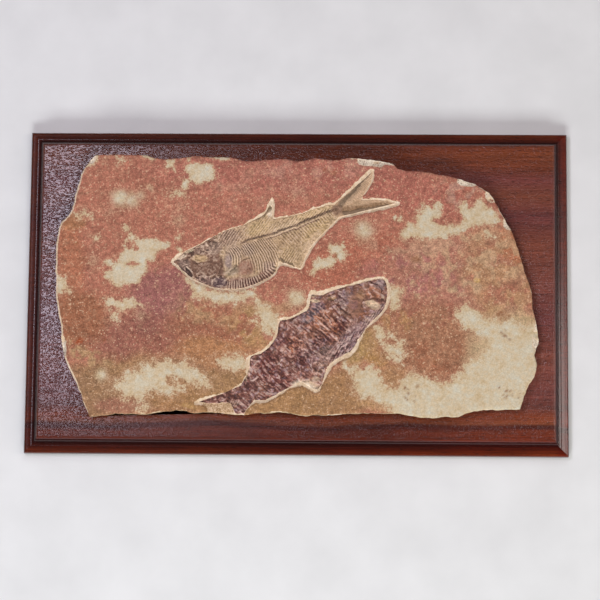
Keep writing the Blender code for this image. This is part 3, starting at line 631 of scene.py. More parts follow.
# Small dark marks: x, y, radius, strength
MARKS = [
    (187, -23, 1.6, 0.9), (189, -27, 1.4, 0.75), (190, -20.5, 1.5, 0.9), (194, -20.5, 1.3, 0.75),
    (196.5, -24, 1.6, 0.75), (193, -27, 1.3, 0.75), (192, -23.5, 2.2, 0.525), (191, -40, 1.2, 0.9),
    (193, -43, 1.4, 0.9), (197, -45.5, 1.3, 0.75), (194, -38, 1.2, 0.6), (187, -91, 1.1, 1),
    (194, -94, 1.1, 1), (198, -93, 1.0, 0.9), (192, -97, 1.0, 0.9), (196, -98, 1.1, 1),
    (200, -97, 1.0, 0.75), (193, -100, 1.1, 1), (205, -99, 1.0, 0.9), (207, -96, 0.9, 0.6),
    (102, -92, 1.3, 1), (104, -93, 1.0, 0.75), (104, -97, 1.2, 1), (101, -100, 1.1, 0.9),
    (103, -102, 1.0, 0.9), (111, -99, 1.0, 0.75), (110, -104, 1.0, 0.6), (113, -90, 1.4, 0.6),
    (110, 30, 2.6, 0.675), (113, 28, 2.0, 0.6), (37, 31, 1.6, 0.75), (-206, 42, 1.4, 0.6),
    (34, 110, 2.2, 0.525), (26, 113, 1.5, 0.525), (-98, 127, 1.0, 0.6), (128, -67, 1.4, 0.75),
    (-178, -49, 1.6, 0.75),
]

# The stain's borders wander by a few millimetres
warp_x = x + 3.5 * clouds(x, y, 16, 201, 4)
warp_y = y + 3.5 * clouds(x, y, 16, 211, 4)
stain = np.tile(rgb(BASE_STAIN), (len(x), 1))
for number, (cx, cy, half_x, half_y, turn, colour, strength, blotch) in enumerate(WASHES):
    c, s = math.cos(math.radians(turn)), math.sin(math.radians(turn))
    u, v = (warp_x - cx) * c + (warp_y - cy) * s, (warp_y - cy) * c - (warp_x - cx) * s
    cover = strength * ease(-np.hypot(u / half_x, v / half_y), -1.25, -0.6)
    if blotch:
        cover = cover * ease(clouds(x, y, blotch, 231 + number, 3), -0.15, 0.45)
    stain += (rgb(colour) - stain) * cover[:, None]
pale = np.zeros(len(x))
spot_x, spot_y = (warp_x + x) / 2, (warp_y + y) / 2
for cx, cy, radius, strength in PALE_SPOTS:
    pale = np.maximum(pale, strength * np.exp(-((spot_x - cx) ** 2 + (spot_y - cy) ** 2) / radius**2))
bare = np.full(len(x), -30.0)
patch_x, patch_y = warp_x * 0.3 + x * 0.7, warp_y * 0.3 + y * 0.7
for softness, patch in BARE:
    bare = np.maximum(bare, depth_inside(patch_x, patch_y, np.array(patch)) / softness)
for patch in STAINED:
    island = depth_inside(x, y, np.array(patch))
    bare = np.where(island < -2, bare, np.minimum(bare, 2 - 2.5 * ease(island, -2, 1)))
mark = np.zeros(len(x))
mark_x, mark_y = x + 1.1 * clouds(x, y, 2.2, 821, 2), y + 1.1 * clouds(x, y, 2.2, 831, 2)
for cx, cy, radius, strength in MARKS:
    mark = np.maximum(mark, strength * np.exp(-((mark_x - cx) ** 2 + (mark_y - cy) ** 2) / radius**2))


def paint(mesh, name, values):
    """Stores one number or one colour for each point of the mesh, for the materials to read."""
    values = np.asarray(values, float)
    if values.ndim == 1:
        mesh.attributes.new(name, "FLOAT", "POINT").data.foreach_set("value", values)
    else:
        rgba = np.column_stack([values, np.ones(len(values))])
        mesh.attributes.new(name, "FLOAT_COLOR", "POINT").data.foreach_set("color", rgba.ravel())


def stained_limestone():
    """Split limestone, matt: clouds of stain with grainy speckle, ragged cream patches and chalky breaks."""
    finish, tree, shader, place = new_finish("stained limestone, split face")
    stain_at = add(tree, "Attribute", {"attribute_name": "stain"}, {}).outputs["Color"]
    bare_at = add(tree, "Attribute", {"attribute_name": "bare"}, {}).outputs["Fac"]
    pale_at = add(tree, "Attribute", {"attribute_name": "pale"}, {}).outputs["Fac"]
    fresh_at = add(tree, "Attribute", {"attribute_name": "fresh"}, {}).outputs["Fac"]
    mark_at = add(tree, "Attribute", {"attribute_name": "mark"}, {}).outputs["Fac"]
    # Grit about 1.2 mm across, clusters of 4 mm and clouds of 12 mm; real grit is finer and wouldn't show
    grit = add(tree, "TexNoise", {}, {"Vector": place, "Scale": 0.8, "Detail": 2.0, "Roughness": 0.6})
    cluster = add(tree, "TexNoise", {}, {"Vector": place, "Scale": 0.24, "Detail": 3.0, "Roughness": 0.6})
    mottle = add(tree, "TexNoise", {}, {"Vector": place, "Scale": 0.08, "Detail": 3.0, "Roughness": 0.6})
    grain = add(tree, "MapRange", {}, {"Value": grit.outputs[0], 1: 0.25, 2: 0.75, 3: 0.56, 4: 1.38})
    lumps = add(tree, "MapRange", {}, {"Value": cluster.outputs[0], 1: 0.3, 2: 0.7, 3: 0.74, 4: 1.26})
    cloud = add(tree, "MapRange", {}, {"Value": mottle.outputs[0], 1: 0.3, 2: 0.7, 3: 0.86, 4: 1.14})
    tone = add(tree, "Math", {"operation": "MULTIPLY"}, {0: grain.outputs[0], 1: cloud.outputs[0]})
    tone = add(tree, "Math", {"operation": "MULTIPLY"}, {0: tone.outputs[0], 1: lumps.outputs[0]})
    # The stain took unevenly: blotches of 6 mm lean towards tan
    uneven = add(tree, "TexNoise", {}, {"Vector": place, "Scale": 0.15, "Detail": 4.0, "Roughness": 0.7})
    tan = add(tree, "MapRange", {}, {"Value": uneven.outputs[0], 1: 0.5, 2: 0.72, 4: 0.5})
    red = add(tree, "Mix", BLENDED, {0: tan.outputs[0], 6: stain_at, 7: linear("#B78E6E")})
    red = add(tree, "Mix", TINTED, {0: 1.0, 6: red.outputs[2], 7: tone.outputs[0]})
    # Pale specks of 1 to 2 mm where the stain missed, closer together in some clouds than in others
    speck = add(tree, "TexNoise", {}, {"Vector": place, "Scale": 0.62, "Detail": 2.0, "Roughness": 0.55})
    closer = {0: cluster.outputs[0], 1: 0.45, 2: speck.outputs[0]}
    speck = add(tree, "Math", {"operation": "MULTIPLY_ADD"}, closer)
    missed = add(tree, "MapRange", {}, {"Value": speck.outputs[0], 1: 0.85, 2: 0.93, 4: 0.9})
    red = add(tree, "Mix", BLENDED, {0: missed.outputs[0], 6: red.outputs[2], 7: linear("#D0AC8A")})
    # Bare patches: the painted depth is eaten into by noise from 6 mm down to grit
    fray = add(tree, "TexNoise", {}, {"Vector": place, "Scale": 0.16, "Detail": 5.0, "Roughness": 0.72})
    frayed = add(tree, "Math", {"operation": "MULTIPLY_ADD"}, {0: fray.outputs[0], 1: 1.9, 2: bare_at})
    with_grit = {0: grit.outputs[0], 1: 0.9, 2: frayed.outputs[0]}
    frayed = add(tree, "Math", {"operation": "MULTIPLY_ADD"}, with_grit)
    fringe = add(tree, "MapRange", {}, {"Value": frayed.outputs[0], 1: 1.1, 2: 1.5, 4: 0.6})
    red = add(tree, "Mix", BLENDED, {0: fringe.outputs[0], 6: red.outputs[2], 7: linear("#BC9474")})
    smooth = {"interpolation_type": "SMOOTHSTEP"}
    patch = add(tree, "MapRange", smooth, {"Value": frayed.outputs[0], 1: 1.38, 2: 1.54})
    grainy = add(tree, "Math", {"operation": "MULTIPLY_ADD"}, {0: grit.outputs[0], 1: 0.7, 2: pale_at})
    soft = add(tree, "MapRange", {}, {"Value": grainy.outputs[0], 1: 0.45, 2: 1.1})
    cover = add(tree, "Math", {"operation": "MAXIMUM"}, {0: patch.outputs[0], 1: soft.outputs[0]})
    # Cream is yellower and greyer by turns, and a patch is palest in its middle
    halfway = {0: 0.5, 2: cluster.outputs[0], 3: mottle.outputs[0]}
    whiteness = add(tree, "Mix", {"data_type": "FLOAT"}, halfway)
    creams = [(0.35, "#C0A882"), (0.45, "#C9B594"), (0.55, "#CABCA0"), (0.65, "#CAC3AE")]
    cream = add(tree, "ValToRGB", {"stops": creams}, {"Fac": whiteness.outputs[0]})
    deep = add(tree, "Math", {"operation": "MULTIPLY_ADD"}, {0: pale_at, 1: 1.2, 2: 1.1})
    deep = add(tree, "Math", {"operation": "MAXIMUM"}, {0: deep.outputs[0], 1: frayed.outputs[0]})
    shallow = add(tree, "MapRange", {}, {"Value": deep.outputs[0], 1: 1.5, 2: 1.95, 3: 0.6, 4: 0.0})
    cream = add(tree, "Mix", BLENDED, {0: shallow.outputs[0], 6: cream.outputs[0], 7: linear("#BEA078")})
    cream = add(tree, "Mix", TINTED, {0: 0.4, 6: cream.outputs[2], 7: grain.outputs[0]})
    face = add(tree, "Mix", BLENDED, {0: cover.outputs[0], 6: red.outputs[2], 7: cream.outputs[2]})
    # Scraped and broken rock is fresh: cream to chalk white
    ragged = add(tree, "Math", {"operation": "MULTIPLY_ADD"}, {0: grit.outputs[0], 1: 0.6, 2: fresh_at})
    fresh = add(tree, "MapRange", smooth, {"Value": ragged.outputs[0], 1: 0.65, 2: 1.0})
    chalks = [(0.3, "#C8AC8A"), (0.5, "#D9C0A0"), (0.7, "#E6D3BA")]
    chalk = add(tree, "ValToRGB", {"stops": chalks}, {"Fac": cluster.outputs[0]})
    dust = add(tree, "MapRange", {}, {"Value": grit.outputs[0], 1: 0.42, 2: 0.32, 4: 0.35})
    chalk = add(tree, "Mix", BLENDED, {0: dust.outputs[0], 6: chalk.outputs[0], 7: linear("#8A6E58")})
    # Where a flake has come away the rock is whiter still, with dark specks
    flaked = add(tree, "MapRange", {}, {"Value": fresh_at, 1: 1.1, 2: 1.5})
    whites = [(0.36, "#8A7260"), (0.42, "#D8C6AC"), (0.6, "#EEE0CA")]
    specked = add(tree, "ValToRGB", {"stops": whites}, {"Fac": grit.outputs[0]})
    chalk = add(tree, "Mix", BLENDED, {0: flaked.outputs[0], 6: chalk.outputs[2], 7: specked.outputs[0]})
    rock = add(tree, "Mix", BLENDED, {0: fresh.outputs[0], 6: face.outputs[2], 7: chalk.outputs[2]})
    rock = add(tree, "Mix", BLENDED, {0: mark_at, 6: rock.outputs[2], 7: linear("#7C4A22")})
    relief = add(tree, "Bump", {}, {"Height": grit.outputs[0], "Strength": 0.5, "Distance": 0.0004})
    tree.links.new(rock.outputs[2], shader.inputs["Base Color"])
    tree.links.new(relief.outputs[0], shader.inputs["Normal"])
    shader.inputs["Roughness"].default_value = 0.85
    shader.inputs["Specular IOR Level"].default_value = 0.3
    return finish


def over_sides(values, below):
    """The face's values, followed by one value or colour for every point of the broken sides."""
    return np.concatenate([values, np.broadcast_to(below, (len(slab_points) - len(x), *values.shape[1:]))])


slab = piece("limestone_slab", slab_points, slab_faces, stained_limestone(), "limestone", "stone_slab")
paint(slab.data, "stain", over_sides(stain, rgb("#B08E64")))
paint(slab.data, "bare", over_sides(bare / 10, -1.0))
paint(slab.data, "pale", over_sides(pale, 0.3))
paint(slab.data, "mark", over_sides(mark, 0.0))
# The edge is rubbed pale along the left side, and here and there elsewhere
left_wear = ease(-x, 188, 205)
rubbed = np.maximum(left_wear, ease(clouds(x, y, 16, 221, 3), 0.25, 0.7))
worn = (1 - ease(from_edge, 0.3, 0.9 + 2.0 * left_wear)) * rubbed
# The hollows are scraped to fresh rock with a wandering border, thinner along the lower fish's belly, and
# between the lobes of its tail the rock kept its tan
scraped = scrape + 0.7 * clouds(x, y, 5, 641, 2) + 0.4 * clouds(x, y, 18, 645, 2)
scraped -= 0.6 * ease(0.64 * x - 0.77 * y, 60, 68) * (lower_scrape > -4)
scraped += 0.9 * np.exp(-(((x + 75) / 16) ** 2 + ((y + 100) / 4) ** 2))
scraped = ease(scraped, 0.3, 1.2)
scraped *= 1 - 0.52 * ease(1.4 - np.hypot((x + 70) / 17, (y + 111) / 6), 0, 0.4)
patchy = chipped * ease(clouds(x, y, 6, 651, 3), -0.9, -0.1)
paint(slab.data, "fresh", over_sides(np.maximum.reduce([scraped, 1.45 * patchy, 0.9 * worn]), 0.45))
slab.data.shade_smooth()
slab.data.set_sharp_from_angle(angle=math.radians(45))

# ---- Upper fish ----------------------------------------------------------------------------------
# A herring-like fossil, left standing in its hollow: brown bone pressed flat in tan rock, with the skull
# at the left, a forked tail and fine ribs. Its edges fray into the cream of the scraped rock.

BONE_FLOOR = SLAB_TOP - HOLLOW_DEPTH
BONE_FOOT = 0.35  # how far a fish's base lies below its hollow's floor
BONE_SINK = 0.15  # how far its worn edge lies below that floor
BONE_STEP = 0.3  # how far its surface is lifted over that edge
BONE_ROUNDING = 1.2  # over what distance from the edge it is lifted
BONE_RELIEF = 1.5  # the highest bones over the lowest gaps
LOWEST, HIGHEST = 0.2, 0.95  # shares of that relief at which it is cut off
UPPER_FISH_STATIONS = [
    ((-113.5, 24), (-114.5, 25), (-113.5, 26.5)),
    ((-108, 18.5), (-106, 26), (-105, 34)),
    ((-101, 12.5), (-97, 28.5), (-98, 38)),
    ((-93, 7.5), (-88, 32), (-89, 42.5)),
    ((-84, 3.5), (-79, 35), (-80, 48)),
    ((-74, 0.5), (-71, 37.5), (-71, 53)),
    ((-64, -0.5), (-65, 39), (-63, 56.5)),
    ((-53, 0), (-58, 41), (-55, 59)),
    ((-42, 3), (-50, 43.5), (-47, 62)),
    ((-32, 7), (-41, 46.5), (-39, 66)),
    ((-24, 11.5), (-34, 48.5), (-31, 71)),
    ((-18.5, 17), (-28, 50), (-24, 84)),
    ((-16, 25), (-22, 52), (-21.5, 66.5)),
    ((-12, 24), (-15, 54), (-12, 68)),
    ((-4, 21), (-8, 56.5), (-4, 70)),
    ((3.5, 18.5), (-1, 59), (4, 71.5)),
    ((8, 29), (6, 62), (10, 74)),
    ((14, 40.5), (13, 65), (17, 76.5)),
    ((22.5, 50), (20, 67.5), (24, 78.5)),
    ((31.5, 59), (27, 70.5), (29.5, 80)),
    ((39.5, 67.5), (34, 73), (34, 80)),
]
UPPER_TAIL_EDGE = [(94, 81), (84, 84), (72, 85), (60.5, 84.5), (64.5, 93), (69.5, 103), (71, 112.5)]
RIB_BOW = 3.0
BOW_FROM, BOW_EASE = 4, 3  # the station where the ribs begin to bow, and how many it takes them
CROWDING = 1.25  # how much closer the rows lie along a fish's edges


def fish_grid(stations, tail_edge, per_station, rows, tail_columns):
    """Points (columns, rows, 2) with their place along and across the fish. Each column is the parabola
    through a station's three points, from the lower edge at -1 over the backbone at 0 to the upper edge at 1,
    and below the backbone it bows tailwards by 4 v (1 + v). In the tail the columns move straight from root
    to edge."""
    at = np.linspace(0, len(stations) - 1, per_station * (len(stations) - 1) + 1)
    v = np.sin(np.linspace(-1, 1, rows) * CROWDING) / math.sin(CROWDING)
    lower, spine, upper = (smooth_curve([s[k] for s in stations], at)[:, None] for k in range(3))
    across = v[None, :, None]
    body = lower * across * (across - 1) / 2 + spine * (1 - across**2) + upper * across * (across + 1) / 2
    ribbed = np.clip(np.minimum(at - BOW_FROM, len(stations) - 1 - at) / BOW_EASE, 0, 1)[:, None]
    tailwards = math.copysign(1, stations[-1][1][0] - stations[0][1][0])
    body[:, :, 0] -= tailwards * RIB_BOW * ribbed * 4 * np.minimum(v, 0) * (1 + v)
    tips = smooth_curve(tail_edge, (v + 1) / 2 * (len(tail_edge) - 1))
    out = np.linspace(0, 1, tail_columns + 1)[1:, None, None]
    grid = np.concatenate([body, body[-1] * (1 - out) + tips * out])
    along = np.concatenate([at, at[-1] + out[:, 0, 0]])
    return grid, np.repeat(along[:, None], rows, axis=1), np.repeat(v[None], len(along), axis=0)


def fish_solid(grid, height):
    """Points and faces of a closed fish: the relief, a wall down into the hollow's floor, and a flat base."""
    top = np.concatenate([grid, height[..., None]], axis=2).reshape(-1, 3)
    edge = rim_of(grid)
    base = np.column_stack([top[edge, :2], np.full(len(edge), BONE_FLOOR - BONE_FOOT)])
    below = len(top) + np.arange(len(edge))
    faces = np.concatenate([grid_faces(*grid.shape[:2]), bands([edge, below])])
    return np.concatenate([top, base]), faces, below[::-1]


def facing_up(faces, base, grid):
    """The same faces, turned over if the grid runs clockwise as seen from above."""
    a, b = grid[1, 1] - grid[0, 1], grid[0, 2] - grid[0, 1]
    if a[0] * b[1] - a[1] * b[0] < 0:
        faces, base = faces[:, ::-1], base[::-1]
    return [*faces.tolist(), base.tolist()]


def stroke(x, y, line, width, end_width=None):
    """Cover of a stroke along a line: 1 on it, easing to 0 at half its width, which may taper to its end."""
    line = np.array(line, float)
    cover = np.zeros(x.shape)
    ends = np.linspace(width, end_width if end_width is not None else width, len(line))
    for (ax, ay), (bx, by), start, end in zip(line, line[1:], ends, ends[1:]):
        dx, dy = bx - ax, by - ay
        t = np.clip(((x - ax) * dx + (y - ay) * dy) / (dx * dx + dy * dy), 0, 1)
        away = np.hypot(x - ax - t * dx, y - ay - t * dy) / ((start + (end - start) * t) / 2)
        cover = np.maximum(cover, 1 - ease(away, 0.55, 1.25))
    return cover


def spot(x, y, centre, half, turn=0, soft=0.35):
    """Cover of a soft-edged ellipse: 1 inside it and 0 a little outside."""
    c, s = math.cos(math.radians(turn)), math.sin(math.radians(turn))
    u = ((x - centre[0]) * c + (y - centre[1]) * s) / half[0]
    v = ((y - centre[1]) * c - (x - centre[0]) * s) / half[1]
    return 1 - ease(np.hypot(u, v), 1 - soft, 1 + soft)


def lay(colours, colour, cover):
    """Lays a hex colour over the colours, as far as the cover goes."""
    colours += (rgb(colour) - colours) * np.clip(cover, 0, 1)[..., None]


def lay_spots(colours, x, y, spots, soft):
    """Lays spots of colour in turn: each has its centre, half lengths, turn, colour and strength."""
    for centre, half, turn, colour, strength in spots:
        lay(colours, colour, strength * spot(x, y, centre, half, turn, soft))


def drawn(x, y, lines):
    """Sum of change times stroke over fine lines: each has its points, its width and its change of tone."""
    return sum(change * stroke(x, y, line, width) for line, width, change in lines)


def ridges(phase, sharpness=1.0):
    """Rounded ridges, one for each whole number of the phase, between 0 and 1."""
    return (0.5 + 0.5 * np.cos(2 * np.pi * phase)) ** sharpness


def comb(phase, sharpness=1.0):
    """A wave of ridges, one for each whole number of the phase, from -1 in the gaps to 1 on the ridges."""
    return 2 * ridges(phase, sharpness) - 1


def shade(colours, tone, pale):
    """Darkens the colours where the tone is negative, by e to the tone, and where it is positive lays a pale
    hex colour over them, by 1 less e to minus the tone."""
    colours *= np.exp(np.clip(tone, -1.15, 0))[..., None]
    lay(colours, pale, 1 - np.exp(-np.clip(tone, 0, 1.6)))


def bone_surface(inside, height):
    """Height of the bone's surface: a step and the relief, cut off low and high, easing in from just below
    the hollow's floor at the fish's edge. It stays under the top of the solids' box."""
    lifted = BONE_STEP + BONE_RELIEF * np.clip(height, LOWEST, HIGHEST)
    surface = BONE_FLOOR - BONE_SINK + ease(inside, 0, BONE_ROUNDING) * lifted
    return np.minimum(surface, float(CAD_BOX[1][2]) / MM)


# Ground colours of the body: tan along the back and rear, pinker over the ribs, darker along the belly
UPPER_FISH_SPOTS = [
    ((-34, 32), (24, 22), 20, "#BC9C78", 1.0), ((-52, 52), (13, 6), 20, "#AF8F70", 1.0),
    ((-64, 48), (10, 9), 30, "#A3836C", 1.0), ((-60, 32), (8, 12), 0, "#B2957A", 1.0),
    ((-46, 37), (7, 7), 0, "#A0846B", 1.0), ((-48, 20), (9, 8), 20, "#976E58", 1.0),
    ((-55, 5), (12, 6), 0, "#8C6657", 1.0), ((-42, 6), (9, 5), 10, "#785043", 1.0),
    ((-28, 14), (8, 5), 38, "#946B58", 1.0), ((-25, 21), (6, 5), 0, "#B4947E", 0.8),
    ((-63, 25), (4, 7), 0, "#A68D80", 1.0), ((-57, 26), (3.5, 5), 0, "#D0B088", 1.0),
    ((-60, 16.5), (7, 4), 20, "#9C866C", 1.0), ((-17.5, 26), (2.6, 10), -4, "#DABA92", 1.0),
    ((-6, 44), (14, 9), 35, "#AE8E6A", 0.8), ((-10, 58), (16, 4), 22, "#DABC96", 0.8),
    ((14, 73), (16, 5), 20, "#CEAE82", 1.0), ((-36, 57), (13, 6), 20, "#C4A577", 0.9),
    ((18, 56), (14, 7), 40, "#BF9F70", 0.8), ((14, 42), (14, 5), 58, "#C5A580", 1.0),
    ((-8, 34), (7, 6), 0, "#B6976C", 0.8),
]
# Skull: gill cover, cheek, jaws, the roof over the eye, the eye and the throat, and a painted shadow behind
# the gill cover
SKULL_SPOTS = [
    ((-84, 20), (15, 9), 8, "#7C5B49", 1.0), ((-105, 22), (6, 6), -30, "#8C7162", 1.0),
    ((-103, 14), (5, 6), 40, "#634A42", 1.0), ((-89, 36), (7, 4), 20, "#967764", 1.0),
    ((-77, 38), (8, 6), 20, "#9C7F6C", 1.0), ((-72, 6), (8, 5), 0, "#6A5250", 1.0),
    # The narrow dark spot at (-70, 21) is painted shadow behind the gill cover's rear edge
    ((-85, 8), (8, 4), -15, "#8C6D60", 1.0), ((-70, 21), (2, 8), 0, "#7A5A48", 0.8),
    ((-108, 29.4), (6, 1.8), 20, "#CCB49A", 1.0), ((-101, 35.5), (5, 1.6), 15, "#D2BF9C", 0.9),
    ((-90, 28), (7.5, 3.4), -4, "#C4A278", 1.0),
]
# Bone edges and cracks, with a painted shadow behind the gill cover, over the skull and then along the body:
# points, width and change of tone
UPPER_FISH_LINES = [
    ([(-114, 26.5), (-109, 27)], 1.2, -0.9), ([(-107.5, 33), (-105, 33.3)], 2.4, -0.8),
    ([(-101, 34.3), (-97, 34)], 2.2, -1.0), ([(-98, 32), (-95, 36)], 3, -0.3),
    ([(-110, 23.5), (-106, 18), (-101, 13)], 2.6, -0.5), ([(-107, 25), (-102, 26)], 3.4, -0.25),
    ([(-105, 21.8), (-101, 23.6)], 1.4, 0.6), ([(-105, 18.5), (-103.4, 18.5)], 1.6, 0.6),
    ([(-102, 20.4), (-97.6, 15.6)], 1.5, 1.4), ([(-102.6, 18.4), (-99.5, 15)], 1.6, -1.4),
    ([(-99.5, 13.8), (-97.8, 12.2)], 2.6, -0.8), ([(-97, 11), (-95, 9.6)], 1.6, 0.5),
    ([(-104.5, 30.5), (-103, 28.5)], 1.5, 0.5), ([(-100.5, 31.4), (-99, 31)], 1.8, 0.9),
    ([(-99, 29.5), (-95, 26.4), (-91, 24.4)], 1.5, 0.6), ([(-87, 24.8), (-82, 27)], 1.6, 0.35),
    ([(-94, 27.7), (-89, 27.2)], 1.0, -0.7), ([(-92, 29.5), (-86, 29.8)], 1.6, 0.35),
    ([(-84, 31), (-80, 33), (-76, 33)], 1.4, 0.45), ([(-93.2, 23.4), (-92.2, 23.3)], 1.2, -0.7),
    ([(-84.4, 42.5), (-83.6, 40.6)], 2.0, 0.9), ([(-82, 45), (-81.6, 44)], 2.4, -1.0),
    ([(-81.4, 41.4), (-80.6, 40.6)], 1.6, -0.8), ([(-78.4, 39.6), (-77.2, 38.6)], 1.5, 0.7),
    ([(-89.2, 39.2), (-88.6, 38.4)], 1.5, 0.7), ([(-86.4, 33.4), (-85.4, 33)], 1.3, 0.5),
    ([(-85.6, 37), (-83.4, 36.6)], 2.4, -0.35), ([(-78.5, 34.4), (-77.5, 34)], 1.4, -0.6),
    ([(-78, 43.6), (-73.6, 43.4)], 1.2, -0.8), ([(-76.4, 47), (-74.2, 48.8)], 1.5, -0.6),
    ([(-77, 45.8), (-74.4, 46.4)], 1.8, 0.5), ([(-72, 44.6), (-72.2, 50.5)], 2.0, 0.6),
    ([(-69.8, 36.4), (-68.8, 35.6)], 1.8, 0.7), ([(-71, 33), (-70.4, 31.6)], 1.6, 0.5),
    # The dark line from (-70.5, 29) to (-71.5, 13) is painted shadow behind the gill cover's rear edge
    ([(-66.4, 35), (-65.6, 34)], 2.4, -0.9), ([(-70.5, 29), (-69.5, 21), (-71.5, 13)], 2.2, -0.5),
    ([(-63.5, 36), (-61.5, 36)], 3.0, 0.35), ([(-92.5, 10.6), (-91.3, 10.4)], 2.2, -0.9),
    ([(-88.4, 11.6), (-84.6, 11.4)], 2.2, 0.7), ([(-92.4, 8.2), (-89.6, 8)], 1.5, 0.8),
    ([(-87.6, 8.8), (-84.4, 8.2)], 2.4, -0.8), ([(-86.4, 5.7), (-84.6, 5.4)], 1.4, 0.8),
    ([(-83.8, 4.4), (-82.8, 4.2)], 1.4, -0.7), ([(-81, 8.6), (-79.6, 12.6)], 1.6, 0.55),
    ([(-78, 12.4), (-75.2, 14.6)], 1.4, 0.9), ([(-72.8, 11), (-71.8, 12)], 1.6, 0.7),
    ([(-70.4, 12), (-70, 10)], 1.8, -0.6), ([(-79.4, 3.4), (-78, 7.4)], 1.6, 0.45),
    ([(-77.6, 9.6), (-76.4, 11.4)], 1.4, -0.6), ([(-68.4, 6), (-63.4, 10)], 1.8, 0.5),
    ([(-66.4, 3.6), (-63.8, 8.8)], 1.5, -0.6), ([(-66.6, 13.4), (-60, 19.6)], 2.2, 0.5),
    ([(-62, 16.4), (-58, 18.6), (-55, 21)], 1.4, -0.7), ([(-57.8, 22.2), (-56.2, 21.8)], 1.8, -0.6),
    ([(-58.8, 14.6), (-56.4, 14.2)], 1.5, 0.5),
    ([(-54, 24), (-50, 27.6), (-45, 29.4), (-41, 30)], 1.3, -0.7), ([(-53, 26), (-49, 30)], 1.4, 0.3),
    ([(-33, 9), (-28, 12), (-22, 16), (-18.6, 20.5)], 2.2, -0.8), ([(-46, 22.4), (-45.4, 18.4)], 1.1, -0.4),
    ([(-43, 20), (-42.6, 17.6)], 1.3, -0.5),
    ([(-44, 64), (-36, 67.6), (-30, 70.6), (-25.4, 76.6)], 3.6, -0.9),
]
SPINE = [
    (-52, 43), (-45, 46), (-40, 47.5), (-30, 50), (-20, 53), (-10, 57), (0, 60.5), (10, 65.5), (20, 69.5),
    (30, 73), (36, 75),
]
BELLY_LINE = [(-78, 0.5), (-64, -0.5), (-53, 0), (-42, 3), (-32, 7), (-24, 11.5), (-18.5, 17)]

fineness = {"per_station": 21, "rows": 147, "tail_columns": 100}
grid, along, across = fish_grid(UPPER_FISH_STATIONS, UPPER_TAIL_EDGE, **fineness)
gx, gy = grid[..., 0].copy(), grid[..., 1].copy()
inside = depth_inside(gx, gy, grid.reshape(-1, 2)[rim_of(grid)][::2])
wx, wy = gx + 0.7 * clouds(gx, gy, 4, 311, 3), gy + 0.7 * clouds(gx, gy, 4, 321, 3)
jitter = 0.16 * clouds(gx, gy, 5, 301, 3)  # ribs don't stand quite evenly
head = 1 - ease(gx + 0.25 * (gy - 25), -72, -67)
tail = ease(along, 19.6, 20.2)
below_spine = ease(-across, 0.02, 0.08) * (1 - head)
above_spine = ease(across, 0.02, 0.08) * (1 - head) * (1 - tail)
belly_line = smooth_curve(BELLY_LINE, np.linspace(0, len(BELLY_LINE) - 1, 61))
rise = gy - np.interp(gx, belly_line[:, 0], belly_line[:, 1])  # height above the belly's edge

colours = np.tile(rgb("#BC9D77"), (*gx.shape, 1))
lay_spots(colours, wx, wy, UPPER_FISH_SPOTS, 0.4)

# Bones are lighter and stand up; the gaps between them are dark. Ribs curve down and back from the backbone.
# Ribs and rays are drawn 2.4 to 2.6 mm apart, a little coarser than real ones, which wouldn't show
rough = 0.60 + 0.45 * spot(gx, gy, (-84, 38), (18, 6), 25, 0.4)
rough += 0.35 * spot(gx, gy, (-84, 8), (17, 6), -5, 0.4)
rough -= 0.30 * spot(gx, gy, (-48, 20), (8, 8), 20, 0.4) + 0.2 * spot(gx, gy, (-17.5, 26), (2, 9), 0, 0.3)
tone = 0.16 * clouds(gx, gy, 7, 341, 3) + 0.8 * rough * clouds(gx, gy, 1.4, 351, 2) * (1 - 0.6 * tail)
long_ribs = spot(gx, gy, (-31, 32), (14, 19), 24, 0.3) * below_spine * ease(rise, 5, 8)
tone += 1.1 * comb((gx + 0.0134 * np.maximum(gy - 14, 0) ** 2) / 2.5 + jitter) * long_ribs
middle_ribs = spot(gx, gy, (-46.5, 37.5), (5.5, 6.5), 0, 0.3) * below_spine
tone += 0.9 * comb((gx + 0.016 * (gy - 14) ** 2) / 2.4 + jitter) * middle_ribs
front_ribs = spot(gx, gy, (-57, 32), (5.5, 10), 10, 0.3) * below_spine
tone += 1.3 * comb((gx + 0.05 * np.maximum(gy - 28, 0) ** 2) / 2.5 + 0.5 * jitter) * front_ribs
belly = ease(-rise, -9.5, -6.5) * ease(gx, -68, -62) * ease(-gx, 18, 20) * below_spine
strokes = comb((gx + 0.02 * (gx + 57) * rise) / 2.5 + jitter)
tone += (1.3 * strokes - 0.6 * (1 - ease(rise, 0.8, 4.5)) * ease(gx, -52, -44)) * belly
rear = below_spine * ease(along, 12.2, 12.8) * (1 - tail)
tone += 0.50 * comb((0.75 * gx + 0.66 * gy) / 2.5 + jitter) * rear * (1 - ease(-across, 0.25, 0.7))
anal_rays = spot(wx, wy, (-6, 31), (9, 7), 20, 0.4) * rear
tone += 0.6 * comb((gx - 0.6 * gy) / 2.4 + 0.5 * jitter) * anal_rays
nape = spot(wx, wy, (-63, 51), (11, 5.5), 22, 0.3)
tone += 0.65 * comb((gx - 0.6 * gy) / 2.6 + jitter) * nape
tone += 0.4 * comb((gx - 0.7 * gy) / 2.5 + jitter) * above_spine * (1 - nape) * (1 - ease(across, 0.35, 0.9))
tone += 0.30 * comb(across * 12 + 0.3 * jitter) * tail * ease(inside, 0.6, 2)

